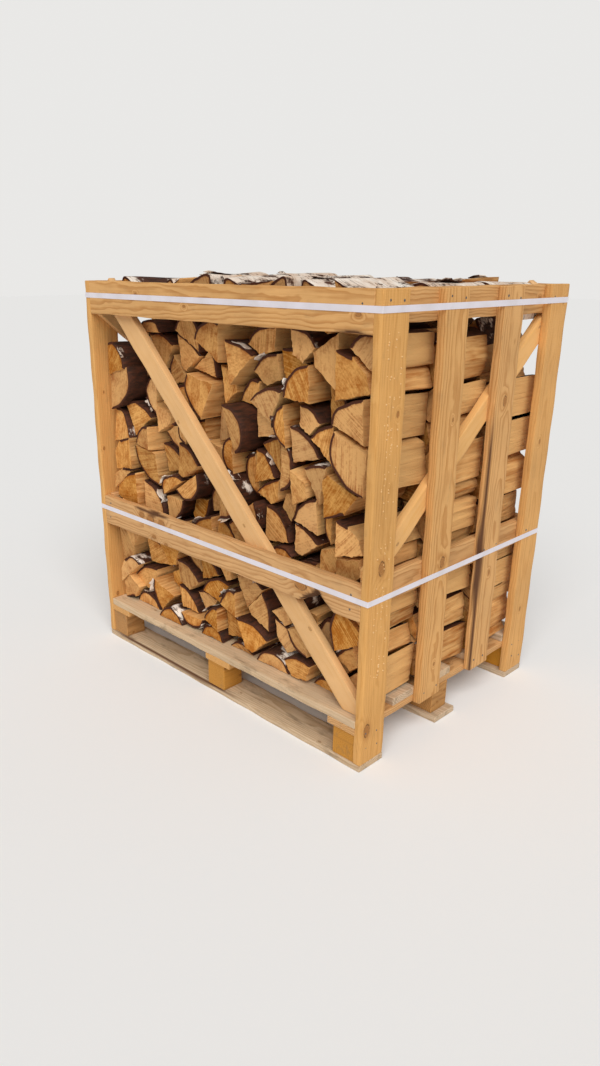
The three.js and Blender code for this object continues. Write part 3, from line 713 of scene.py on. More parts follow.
class Lots:
    """Numbers from 0 to 1 that come out the same on every run. Each state is the last times 1664525 plus
    1013904223, modulo 2**32, so a whole batch follows from one state by powers worked out beforehand."""

    def __init__(self, seed):
        gain, shift, gains, shifts = 1, 0, [], []
        for _ in range(FIRST_TRIES * LOTS_PER_LOG):
            gain = gain * 1664525 % 2**32
            shift = (shift * 1664525 + 1013904223) % 2**32
            gains.append(gain)
            shifts.append(shift)
        self.gains = np.array(gains, np.uint64)
        self.shifts = np.array(shifts, np.uint64)
        self.state = np.uint64(seed)

    def take(self, rows, columns=1):
        """The next numbers, as rows and columns."""
        count = rows * columns
        states = (self.gains[:count] * self.state + self.shifts[:count]) % np.uint64(2**32)
        self.state = states[-1]
        return (states / 2.0**32).reshape(rows, columns)


def between(limits, share):
    """The value that lies a share of the way from the first limit to the second."""
    return limits[0] + (limits[1] - limits[0]) * share


def draw_logs(lots, upright):
    """A batch of logs by lot: kind of split, turn of the bark in degrees, and six proportions from 0 to 1."""
    drawn = lots.take(FIRST_TRIES, LOTS_PER_LOG)
    share = drawn[:, 0].copy()
    kind = np.zeros(FIRST_TRIES, int)
    going = np.ones(FIRST_TRIES, bool)
    for split in SPLITS[:-1]:
        going &= share >= split[0]
        share -= np.where(going, split[0], 0)
        kind += going
    up = 90 + BARK_UP_SPREAD * (drawn[:, 2] - 0.5)
    turn = np.where(drawn[:, 1] < upright, up, 360 * drawn[:, 2])
    return kind, turn, drawn[:, 3:]


def log_outlines(kind, turn, sizes):
    """Corners of a batch of log ends round the pith: an arc of bark, then the corners of the split faces.
    Outlines with fewer corners repeat their last one."""
    outlines = np.zeros((len(kind), MOST_CORNERS, 2))
    for number, (_, radius, angle, inner, flats) in enumerate(SPLITS):
        rows = kind == number
        size, facing = sizes[rows].T, turn[rows]
        spread = between(angle, size[1])
        degrees = [facing + spread * (i / flats - 0.5) for i in range(flats + 1)]
        distance = [between(radius, size[0])] * (flats + 1)
        if isinstance(inner, tuple):
            distance += [between(inner, size[2])] * 2
            degrees.append(facing + spread * between(INNER_CORNER, size[3]))
            degrees.append(facing - spread * between(INNER_CORNER, size[4]))
        turns = np.array(degrees) * DEG
        corners = [np.stack(pair) for pair in zip(distance * np.cos(turns), distance * np.sin(turns))]
        if inner == "pith":
            corners.append(np.stack([PITH_SHIFT * (size[3] - 0.5), PITH_SHIFT * (size[4] - 0.5)]))
        corners += [corners[-1]] * (MOST_CORNERS - len(corners))
        outlines[rows] = np.stack(corners).transpose(2, 0, 1)
    return outlines


def column_edges(outlines, x):
    """Lower and upper edges of convex outlines over columns x: the highest of the lines through their lower
    sides and the lowest of those through their upper ones."""
    low = np.full(x.shape, -np.inf)
    high = np.full(x.shape, np.inf)
    for i in range(outlines.shape[1]):
        a = outlines[:, i, :, None]
        run, rise = (outlines[:, (i + 1) % outlines.shape[1], :, None] - a).transpose(1, 0, 2)
        with np.errstate(divide="ignore", invalid="ignore"):
            height = a[:, 1] + rise / run * (x - a[:, 0])
        low = np.where(run > 0, np.maximum(low, height), low)
        high = np.where(run < 0, np.minimum(high, height), high)
    return low, high


def set_down(logs, sky, valley, limit):
    """Lowers each log of a batch onto the skyline over a valley and returns the best: the one that leaves
    little empty room under it, lies deep, and keeps a level top."""
    kind, turn, sizes = logs
    left_column, right_column, floor = valley
    outlines = log_outlines(kind, turn, sizes)
    left = outlines[:, :, 0].min(1)
    span = np.floor((outlines[:, :, 0].max(1) - left) / COLUMN).astype(int)
    wanted = np.floor(left_column + sizes[:, 5] * (right_column - left_column - span) + 0.5)
    start = np.maximum(0, np.minimum(len(sky) - 1 - span, wanted)).astype(int)
    column = np.arange(span.max() + 1)
    covered = column <= span[:, None]
    low, high = column_edges(outlines, left[:, None] + column * COLUMN)
    under = sky[np.minimum(start[:, None] + column, len(sky) - 1)]
    lift = np.where(covered, under - low + GAP, -np.inf).max(1)
    empty = np.where(covered, lift[:, None] + low - under, 0).sum(1) * COLUMN
    area = np.where(covered, high - low, 0).sum(1) * COLUMN
    top = np.where(covered, lift[:, None] + high, -np.inf).max(1)
    steep = np.where(covered[:, 1:], np.abs(np.diff(high)), 0).sum(1) / span
    depth = lift + low[np.arange(len(span)), span // 2] - floor
    against = PENALTY["depth"] * depth + PENALTY["height"] * (top - floor) + PENALTY["steepness"] * steep
    score = empty / area + against
    score[top > limit(LOG_ROOM[0] + start * COLUMN)] = np.inf
    best = int(np.argmin(score))
    if not np.isfinite(score[best]):
        return None
    shift = np.array([LOG_ROOM[0] + start[best] * COLUMN - left[best], lift[best]])
    roof = high[best, : span[best] + 1] + lift[best]
    log = (int(kind[best]), float(turn[best]), sizes[best])
    return {"score": score[best], "log": log, "start": start[best], "roof": roof,
            "outline": outlines[best] + shift, "pith": shift}


def find_valley(sky, closed):
    """The lowest open place on the skyline, as wide as it stays nearly level."""
    if closed.all():
        return None
    left = right = int(np.argmin(np.where(closed, np.inf, sky)))
    floor = sky[left]
    while left > 0 and sky[left - 1] < floor + VALLEY_STEP:
        left -= 1
    while right < len(sky) - 1 and sky[right + 1] < floor + VALLEY_STEP:
        right += 1
    return left, right, floor


def stack_logs(lots, sky, limit, upright):
    """Stacks logs on a skyline until no more go under the limit. Each is the best of many drawn by lot,
    bettered in rounds of small changes."""
    closed = np.zeros(len(sky), bool)
    logs = []
    while valley := find_valley(sky, closed):
        best = set_down(draw_logs(lots, upright), sky, valley, limit)
        if best is None:
            closed[valley[0]:valley[1] + 1] = True
            continue
        for number in range(ROUNDS):
            reach = REACH[0] * (1 - number / ROUNDS) + REACH[1]
            kind, turn, sizes = best["log"]
            drawn = lots.take(ROUND_TRIES, LOTS_PER_CHANGE) - 0.5
            changed = np.clip(sizes + reach * drawn[:, :6], 0, 1)
            batch = (np.full(ROUND_TRIES, kind), turn + TURN_REACH * reach * drawn[:, 6], changed)
            tried = set_down(batch, sky, valley, limit)
            if tried and tried["score"] < best["score"]:
                best = tried
        sky[best["start"]:best["start"] + len(best["roof"])] = best["roof"]
        kind = best["log"][0]
        flats = SPLITS[kind][4]
        count = flats + 1 + {"pith": 1, "straight": 0}.get(SPLITS[kind][3], 2)
        logs.append({
            "points": [tuple(point) for point in best["outline"][:count]],
            "bark": [i < flats and flats > 1 for i in range(count)],
            "pith": best["pith"],
        })
    return logs


def push_out(points, k, amount):
    """Moves a corner of an outline away from the outline's middle."""
    middle_x = sum(x for x, _ in points) / len(points)
    middle_z = sum(z for _, z in points) / len(points)
    x, z = points[k]
    stretch = 1 + amount / math.hypot(x - middle_x, z - middle_z)
    moved = (middle_x + (x - middle_x) * stretch, middle_z + (z - middle_z) * stretch)
    return [*points[:k], moved, *points[k + 1:]]


def outward(a, b):
    """The direction out of an outline at the side between two of its corners."""
    size = math.hypot(b[0] - a[0], b[1] - a[1])
    return (b[1] - a[1]) / size, (a[0] - b[0]) / size


def is_convex(points):
    """Whether an outline, drawn anticlockwise, turns left at every corner."""
    for i, (x, z) in enumerate(points):
        x0, z0 = points[i - 1]
        x1, z1 = points[(i + 1) % len(points)]
        if ((x - x0) * (z1 - z0) - (z - z0) * (x1 - x0)) / math.hypot(x - x0, z - z0) <= 0:
            return False
    return True


class Growth:
    """Lets stacked logs fill the room left between them. Their corners creep outwards while the log stays
    convex, inside the walls and clear of its neighbours; two logs are clear when a side of one has the other
    wholly outside it."""

    def __init__(self, logs):
        self.logs = logs
        self.corners = np.zeros((len(logs), MOST_GROWN, 2))
        self.sides = np.zeros_like(self.corners)
        self.lengths = np.zeros((len(logs), MOST_GROWN))
        for i, log in enumerate(logs):
            self.keep(i, log["points"])

    def keep(self, i, points):
        """Takes a new outline for a log, padded with its last corner to the room of the arrays."""
        padded = np.array([*points, *[points[-1]] * (MOST_GROWN - len(points))])
        self.corners[i] = padded
        self.sides[i] = np.roll(padded, -1, axis=0) - padded
        self.lengths[i] = np.hypot(self.sides[i, :, 0], self.sides[i, :, 1])
        self.logs[i]["points"] = points

    def is_clear(self, i, points, k):
        """Whether a log with this outline stays clear of the ones near its corner k."""
        gap = np.hypot(self.corners[:, 0, 0] - points[k][0], self.corners[:, 0, 1] - points[k][1])
        near = np.flatnonzero(gap < NEAR)
        near = near[near != i]
        own = np.array(points)
        side = np.roll(own, -1, axis=0) - own
        size = np.hypot(side[:, 0], side[:, 1])
        other = self.corners[near] - own[:, None, None]
        across = side[:, 0, None, None] * other[..., 1] - side[:, 1, None, None] * other[..., 0]
        near = near[~(across / size[:, None, None] <= PRESS).all(2).any(0)]
        offset = own - self.corners[near][:, :, None]
        run = self.sides[near][:, :, None]
        across = run[..., 0] * offset[..., 1] - run[..., 1] * offset[..., 0]
        with np.errstate(divide="ignore", invalid="ignore"):
            outside = (across / self.lengths[near][:, :, None] <= PRESS).all(2).any(1)
        return bool(outside.all())

    def change(self, i, points, k):
        """Gives a log a new outline, moved at corner k, where it fits."""
        x, z = points[k]
        in_room = LOG_ROOM[0] < x < LOG_ROOM[1] and z > LOG_FLOOR
        fits = in_room and is_convex(points) and self.is_clear(i, points, k)
        if fits:
            self.keep(i, points)

    def creep(self):
        """Pushes every corner of every log one step outwards, where it fits."""
        for i, log in enumerate(self.logs):
            for k in range(len(log["points"])):
                self.change(i, push_out(log["points"], k, GROWTH_STEP), k)

    def bulge(self):
        """Adds a corner in the middle of every side, a little way out, where it fits."""
        for i, log in enumerate(self.logs):
            for k in reversed(range(len(log["points"]))):
                points = log["points"]
                a, b = points[k], points[(k + 1) % len(points)]
                out_x, out_z = outward(a, b)
                added = ((a[0] + b[0]) / 2 + BULGE * out_x, (a[1] + b[1]) / 2 + BULGE * out_z)
                self.change(i, [*points[:k + 1], added, *points[k + 1:]], k + 1)


def swell(points, amount):
    """Moves every side of an outline outwards, a sharp corner no more than twice as far as its sides."""
    moved = []
    for i, (x, z) in enumerate(points):
        before = outward(points[i - 1], points[i])
        after = outward(points[i], points[(i + 1) % len(points)])
        sum_x, sum_z = before[0] + after[0], before[1] + after[1]
        size = math.hypot(sum_x, sum_z)
        away = min(2 / size, 2) * amount
        moved.append((x + sum_x / size * away, z + sum_z / size * away))
    return moved


def raise_sky(sky, points):
    """Lifts the skyline to the upper edge of an outline."""
    columns = [(x - LOG_ROOM[0]) / COLUMN for x, _ in points]
    start = max(0, min(len(sky) - 1, math.floor(min(columns))))
    stop = max(0, min(len(sky) - 1, math.ceil(max(columns))))
    x = LOG_ROOM[0] + start * COLUMN + np.arange(stop - start + 1) * COLUMN
    high = column_edges(np.array([points]), x[None])[1][0]
    sky[start:stop + 1] = np.maximum(sky[start:stop + 1], high)


def from_end_walls(points):
    """How near an outline comes to the left and to the right end wall."""
    across = [x for x, _ in points]
    return min(across) - LOG_ROOM[0], LOG_ROOM[1] - max(across)


def outer_end(lots, points, from_right):
    """How far a log's outer end stands back from the outside of its long wall."""
    lot = float(lots.take(1)[0, 0])
    flush = min(from_end_walls(points)) < FLUSH_BY_WALL
    sums = [(CRATE_WIDTH - x if from_right else x) + z for x, z in points]
    reach = BRACE_WIDTH / math.sqrt(2) + 2 * LOG_SWELL
    if max(sums) < FRONT_BRACE_SUM - reach or min(sums) > FRONT_BRACE_SUM + reach:
        return LOG_END["free"] + LOG_END["spread_by_wall" if flush else "spread"] * lot
    return LOG_END["behind_brace"] + LOG_END["spread_behind_brace"] * lot


def shown_bark(points, flags, steepest):
    """Which sides of a log show bark: not those against an end wall, where the stacker turns split faces
    outwards, and on the top course those that face up more than the steepest one."""
    shown = []
    for i, flag in enumerate(flags):
        a, b = points[i], points[(i + 1) % len(points)]
        out_x, out_z = outward(a, b)
        by_wall = abs(out_x) > 0.5 and min(a[0] - LOG_ROOM[0], LOG_ROOM[1] - b[0]) < BY_WALL
        shown.append(flag and not by_wall if steepest is None else out_z > steepest)
    return shown


@functools.cache
def row_of_logs(name):
    """The logs of one row: those of its body, and those of the course on top."""
    row = ROWS[name]
    low_from, low_to, low_top = row["low_corner"]

    def limit(top):
        """The height that logs may reach, by their place across the crate."""
        return lambda x: np.where((x > low_from) & (x < low_to), min(top, low_top), top)

    lots = Lots(row["seed"])
    sky = np.full(int((LOG_ROOM[1] - LOG_ROOM[0]) / COLUMN) + 1, LOG_FLOOR)
    body = stack_logs(lots, sky, limit(TOP_COURSE_BASE), BARK_UP["body"])
    growth = Growth(body)
    for step in range(GROWTH_STEPS):
        growth.creep()
        if step + 1 == SHOWN_GROWTH:
            for log in body:
                log["shown"] = log["points"]
    growth.bulge()
    for _ in range(GROWTH_STEPS):
        growth.creep()
    for log in body:
        raise_sky(sky, swell(log["points"], LOG_SWELL))
    top = stack_logs(lots, sky, limit(PILE_TOP), BARK_UP["top"])
    for course, logs in (("body", body), ("top", top)):
        for number, log in enumerate(logs):
            steepest = TOP_BARK[number % len(TOP_BARK)] if course == "top" else None
            log["shown"] = log.get("shown", log["points"])
            log["bark"] = shown_bark(log["shown"], log["bark"], steepest)
            log["bare"] = BARE[course]
            walls = [near < FLUSH_BY_WALL for near in from_end_walls(log["points"])]
            place = "top" if course == "top" else "tight" if walls[row["tight_wall"]] else "inside"
            log["swell"] = SHOWN_SWELL[place]
    for log in body + top:
        end = outer_end(lots, log["points"], name == "back")
        log["front"] = end if name == "front" else row["faces"][0]
        log["back"] = CRATE_DEPTH - end if name == "back" else row["faces"][1]
    return body, top


SECTION = 40  # points round a log
STATIONS = np.array([0, 0.012, 0.09, 0.25, 0.42, 0.6, 0.78, 0.92, 0.988, 1])  # shares of a log's length
LOG_EASE = 1.2 * MM
BARK_THICKNESS = 10 * MM
CLEAR_OF_BARK = 30 * MM  # depth under the bark where it no longer tells
FREE_FROM = {"wall": 0.2, "floor": 0.33}  # logs nearer to an end wall or the floor stand back less


def section_points(log):
    """Points round a log's end, and whether the stretch of outline after each is bark. Split faces are
    straight and runs of bark are one smooth curve through their corners, a cubic with the slope of the chord
    between the two neighbouring corners."""
    points = np.array(swell(log["shown"], log["swell"]))
    bark = np.array(log["bark"])
    following = np.roll(points, -1, axis=0)
    sides = following - points
    lengths = np.hypot(*sides.T)
    counts = np.maximum(2, np.floor(SECTION * lengths / lengths.sum())).astype(int)
    while counts.sum() < SECTION:
        counts[np.argmax(lengths / counts)] += 1
    while counts.sum() > SECTION:
        counts[np.argmax(np.where(counts > 2, counts / lengths, 0))] -= 1
    smooth = (bark & np.roll(bark, 1))[:, None]
    chord = (following - np.roll(points, 1, axis=0)) / 2
    leaving = np.where(smooth, chord, sides)
    arriving = np.where(np.roll(smooth, -1, axis=0), np.roll(chord, -1, axis=0), sides)
    leaving = np.where(smooth, leaving, 1.5 * sides - 0.5 * arriving)
    arriving = np.where(np.roll(smooth, -1, axis=0), arriving, 1.5 * sides - 0.5 * leaving)
    side = np.repeat(np.arange(len(points)), counts)
    t = np.concatenate([np.arange(count) / count for count in counts])[:, None]
    curved = (
        (1 + 2 * t) * (1 - t) ** 2 * points[side] + t * (1 - t) ** 2 * leaving[side]
        + t**2 * (3 - 2 * t) * following[side] - t**2 * (1 - t) * arriving[side]
    )
    straight = points[side] + t * sides[side]
    return np.where(bark[side][:, None], curved, straight), bark[side]


def log_mesh(name, logs, seed, settings, materials, nodes, inner_ends):
    """Split logs as one mesh. Each is its end's outline carried along Y, with ridges that follow the grain
    and slow waves as sums of sines, a slight bend and two saw cuts that lean a little; the ends are closed by
    rings drawn in from the edge to the middle."""
    random = np.random.default_rng(seed)
    count, rows = len(logs), len(STATIONS)
    drawn = [section_points(log) for log in logs]
    outline = np.array([points for points, _ in drawn]) * MM - [CRATE_WIDTH * MM / 2, 0]
    bark = np.array([flags for _, flags in drawn])
    pith = np.array([log["pith"] for log in logs]) * MM - [CRATE_WIDTH * MM / 2, 0]
    front = np.array([log["front"] for log in logs]) * MM - CRATE_DEPTH * MM / 2
    back = np.array([log["back"] for log in logs]) * MM - CRATE_DEPTH * MM / 2
    spread = [
        settings.inner_spread if end in inner_ends else settings.outer_spread for end in ("front", "back")
    ]
    middle = outline.mean(1, keepdims=True)
    reach = outline - middle
    from_wall = CRATE_WIDTH * MM / 2 - np.abs(middle[:, 0, 0])
    room = np.minimum(from_wall / FREE_FROM["wall"], middle[:, 0, 1] / FREE_FROM["floor"])
    free = np.clip(room ** 2, 0.05, 1)
    front += spread[0] * free * random.uniform(0, 1, count) ** 1.5
    back -= spread[1] * free * random.uniform(0, 1, count) ** 1.5
    out = reach / np.linalg.norm(reach, axis=2, keepdims=True)

    t = STATIONS[None, :, None]
    angle = 2 * math.pi * np.arange(SECTION) / SECTION
    phase = random.uniform(0, 2 * math.pi, (3, count, 1, 1))
    wave = 0.6 * np.sin(3 * angle + 4 * t + phase[0]) + 0.5 * np.sin(7 * angle - 6 * t + phase[1])
    wave = wave + 0.35 * np.sin(13 * angle + 9 * t + phase[2])
    ridges = random.normal(0, 0.55, (count, 1, SECTION))
    split = (~(bark | np.roll(bark, 1, axis=1)))[:, None]
    away = settings.roughness * np.where(split, wave + ridges, 0.6 * wave)
    away[:, [0, -1]] -= LOG_EASE
    bend = random.uniform(-2, 2, (count, 1, 1, 2)) * MM * np.sin(math.pi * STATIONS)[None, :, None, None]
    slope = random.uniform(-8, 8, (count, 1, 1, 2)) * MM * (STATIONS - 0.5)[None, :, None, None]
    ring = middle[:, None] + reach[:, None] + out[:, None] * away[..., None] + bend + slope
    left, right = ((wall - CRATE_WIDTH / 2) * MM for wall in LOG_ROOM)
    ring[..., 0] = np.clip(ring[..., 0], left, right)

    lean = [np.einsum("nmk,nk->nm", reach, random.normal(0, 0.07, (count, 2))) for _ in range(2)]
    near, far = front[:, None] - lean[0].min(1, keepdims=True), back[:, None] - lean[1].max(1, keepdims=True)
    y = (near + lean[0])[:, None] * (1 - t) + (far + lean[1])[:, None] * t
    body = np.stack([ring[..., 0], y, ring[..., 1]], axis=-1)
    for log, skin, flags in zip(logs, body, bark):
        log["skin"] = skin
        log["skin_bark"] = flags

    def closed_end(station, level, tilt):
        """Points inside an end: a ring by the bark, a ring half way in and the middle."""
        edge = ring[:, station] - middle
        size = np.linalg.norm(edge, axis=2, keepdims=True)
        steps = [1 - np.minimum(0.4, BARK_THICKNESS / size), np.full_like(size, 0.5), np.zeros_like(size)]
        flat = [
            np.concatenate([edge * k + middle, level[:, :, None] + tilt[:, :, None] * k], axis=2)
            for k in steps
        ]
        inner = np.concatenate([flat[0], flat[1], flat[2][:, :1]], axis=1)
        return inner[..., [0, 2, 1]]

    ends = [closed_end(0, near, lean[0]), closed_end(-1, far, lean[1])]
    points = np.concatenate([body.reshape(count, -1, 3), *ends], axis=1)
    size = points.shape[1]

    index = np.arange(rows * SECTION).reshape(rows, SECTION)
    after = np.roll(index, -1, axis=1)
    sides = np.stack([index[:-1], index[1:], after[1:], after[:-1]], axis=-1).reshape(-1, 4)
    quads, fans = [sides], []
    for base, edge, step in ((rows * SECTION, 0, 1), (rows * SECTION + 2 * SECTION + 1, -1, -1)):
        rims = [index[edge], base + np.arange(SECTION), base + SECTION + np.arange(SECTION)]
        for outer, inner in zip(rims, rims[1:]):
            quads.append(np.stack([outer, np.roll(outer, -1), np.roll(inner, -1), inner], axis=-1)[:, ::step])
        heart = np.full(SECTION, base + 2 * SECTION)
        fans.append(np.stack([rims[2], np.roll(rims[2], -1), heart], axis=-1)[:, ::step])
    quads, fans = np.concatenate(quads), np.concatenate(fans)
    shift = (np.arange(count) * size)[:, None, None]
    side_look = np.where(bark, 2, 1)[:, None].repeat(rows - 1, axis=1).reshape(count, -1)
    end_look = np.zeros((count, len(quads) - len(sides)))
    quad_look = np.concatenate([side_look, end_look], axis=1).ravel()
    look = np.concatenate([quad_look, np.zeros(count * len(fans))])

    under = np.full((count, size), CLEAR_OF_BARK)
    beside = bark | np.roll(bark, 1, axis=1)
    along = np.where(beside, 0, CLEAR_OF_BARK)[:, None].repeat(rows, axis=1)
    under[:, :rows * SECTION] = along.reshape(count, -1)
    for base in (rows * SECTION, rows * SECTION + 2 * SECTION + 1):
        under[:, base:base + SECTION] = np.where(beside, BARK_THICKNESS, CLEAR_OF_BARK)
    lot = random.uniform(0, 1, (count, 1, 3)).repeat(size, axis=1)
    bare = between(np.array([log["bare"] for log in logs]).T, random.uniform(0, 1, count)).repeat(size)
    grain = points - np.stack([pith[:, 0], random.uniform(0, 9, count), pith[:, 1]], axis=-1)[:, None]
    faces = [(quads + shift).reshape(-1, 4), (fans + shift).reshape(-1, 3)]
    piece = new_piece(
        name, points.reshape(-1, 3), faces, materials, look,
        {"grain": grain.reshape(-1, 3), "lot": lot.reshape(-1, 3), "under_bark": under.ravel(), "bare": bare},
    )
    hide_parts(*nodes)
    return piece


def birch_end_grain(settings):
    """Sawn birch end: faint growth rings round the pith, a browner heart, clouds and specks, scratches that
    the saw left more or less of, and the dark line of bark round the rim."""
    material, tree = new_material("birch_end_grain")
    grain = add(tree, "Attribute", attribute_name="grain").outputs["Vector"]
    lots = add(tree, "Attribute", attribute_name="lot").outputs["Vector"]
    lot = add(tree, "SeparateXYZ", {0: lots})
    under = add(tree, "Attribute", attribute_name="under_bark").outputs["Fac"]
    flat = add(tree, "VectorMath", {0: grain, 1: (1, 0, 1)}, operation="MULTIPLY").outputs[0]
    out = add(tree, "VectorMath", {0: flat}, operation="LENGTH").outputs["Value"]
    sway = add(tree, "TexNoise", {"Vector": grain, "Scale": per(45), "Detail": 3.0})
    bent = add(tree, "Math", {0: sway, 1: 16 * MM, 2: out}, operation="MULTIPLY_ADD")
    rings = add(tree, "Math", {0: bent, 1: settings.ring_width}, operation="DIVIDE")
    part = add(tree, "Math", {0: rings, 1: 1.0}, operation="PINGPONG")
    line = add(tree, "MapRange", {0: part, 1: 0.55, 2: 1.0, 3: 0.0, 4: 0.14})

    # Scratches and specks are finer than this; they are drawn as coarse as they need to show
    saw_turn = add(tree, "Math", {0: lot.outputs[1], 1: math.tau}, operation="MULTIPLY")
    turned = add(tree, "VectorRotate", {"Vector": grain, "Axis": (0, 1, 0), "Angle": saw_turn})
    stretched = add(tree, "VectorMath", {0: turned, 1: (per(4.4), 0, per(110))}, operation="MULTIPLY")
    scratch = add(tree, "TexNoise", {"Vector": stretched, "Scale": 1.0, "Detail": 4.0})
    blunt = add(tree, "MapRange", {0: lot.outputs[2], 3: 0.42, 4: 0.08})
    sharp = add(tree, "Math", {0: blunt, 1: -1.0}, operation="MULTIPLY")
    scratched = add(tree, "MapRange", {0: scratch, 1: 0.38, 2: 0.62, 3: sharp, 4: blunt})
    cloud = add(tree, "TexNoise", {"Vector": grain, "Scale": per(38), "Detail": 5.0, "Roughness": 0.62})
    blotch = add(tree, "MapRange", {0: cloud, 1: 0.38, 2: 0.7, 3: -0.25, 4: 0.55})
    speck = add(tree, "TexNoise", {"Vector": grain, "Scale": per(7.7), "Detail": 3.0, "Roughness": 0.7})
    speckled = add(tree, "MapRange", {0: speck, 1: 0.4, 2: 0.7, 3: -0.22, 4: 0.34})
    heart = add(tree, "MapRange", {
        0: bent, 1: 20 * MM, 2: 60 * MM, 3: 0.55, 4: 0.0,
    }, interpolation_type="SMOOTHSTEP")
    hearted = add(tree, "Math", {0: heart, 1: lot.outputs[2]}, operation="MULTIPLY")
    edge = add(tree, "MapRange", {
        0: under, 1: 4 * MM, 2: 22 * MM, 3: 0.45, 4: 0.0,
    }, interpolation_type="SMOOTHSTEP")
    tone = add(tree, "Math", {0: lot.outputs[0], 1: 0.55}, operation="MULTIPLY")
    for share in (blotch, hearted, line, scratched, edge, speckled):
        tone = add(tree, "Math", {0: tone, 1: share}, operation="ADD")
    wood = add(tree, "Mix", {0: tone, 6: settings.end_grain, 7: settings.dark_end}, data_type="RGBA")
    spread = add(tree, "MapRange", {0: lot.outputs[1], 3: 0.75, 4: 1.19})
    amber = add(tree, "MapRange", {0: lot.outputs[0], 3: 0.93, 4: 1.05})
    toned = add(tree, "HueSaturation", {"Color": wood.outputs[2], "Value": spread, "Saturation": amber})
    ragged = add(tree, "Math", {0: cloud, 1: 4 * MM, 2: under}, operation="MULTIPLY_ADD")
    rim = add(tree, "MapRange", {0: ragged, 1: 7.8 * MM, 2: 10.2 * MM, 3: 1.0, 4: 0.0})
    rimmed = add(tree, "Mix", {0: rim, 6: toned, 7: linear("#4A2514")}, data_type="RGBA")
    height = add(tree, "Math", {0: speck, 1: scratch}, operation="ADD")
    bump = add(tree, "Bump", {"Height": height, "Strength": 0.7, "Distance": 2 * MM})
    shader = add(tree, "BsdfPrincipled", {
        "Base Color": rimmed.outputs[2], "Roughness": 0.82, "Normal": bump, "Specular IOR Level": 0.25,
    })
    add(tree, "OutputMaterial", {0: shader})
    return material


def birch_split(settings):
    """Split birch: torn fibres that run the length of the log, pale, with darker strands between."""
    material, tree = new_material("birch_split_face")
    grain = add(tree, "Attribute", attribute_name="grain").outputs["Vector"]
    lots = add(tree, "Attribute", attribute_name="lot").outputs["Vector"]
    lot = add(tree, "SeparateXYZ", {0: lots})
    # Torn fibres are finer than this; they are drawn as coarse as they need to show
    long = add(tree, "VectorMath", {0: grain, 1: per(8.3, 200, 8.3)}, operation="MULTIPLY")
    fibre = add(tree, "TexNoise", {"Vector": long, "Scale": 1.0, "Detail": 6.0, "Roughness": 0.6})
    torn = add(tree, "VectorMath", {0: grain, 1: per(24, 110, 24)}, operation="MULTIPLY")
    flake = add(tree, "TexNoise", {"Vector": torn, "Scale": 1.0, "Detail": 4.0, "Distortion": 0.6})
    strand = add(tree, "MapRange", {0: fibre, 1: 0.4, 2: 0.64, 3: 0.0, 4: 0.75})
    patch = add(tree, "MapRange", {0: flake, 1: 0.42, 2: 0.68, 3: 0.0, 4: 0.7})
    both = add(tree, "Math", {0: strand, 1: patch}, operation="ADD")
    shade = add(tree, "Math", {0: both, 1: lot.outputs[0]}, operation="MULTIPLY")
    wood = add(tree, "Mix", {0: shade, 6: settings.split_wood, 7: settings.dark_end}, data_type="RGBA")
    height = add(tree, "Math", {0: flake, 1: 1.4, 2: fibre}, operation="MULTIPLY_ADD")
    spread = add(tree, "MapRange", {0: lot.outputs[2], 3: 0.84, 4: 1.12})
    toned = add(tree, "HueSaturation", {"Color": wood.outputs[2], "Value": spread})
    bump = add(tree, "Bump", {"Height": height, "Strength": 0.9, "Distance": 4 * MM})
    shader = add(tree, "BsdfPrincipled", {
        "Base Color": toned, "Roughness": 0.78, "Normal": bump, "Specular IOR Level": 0.3,
    })
    add(tree, "OutputMaterial", {0: shader})
    return material


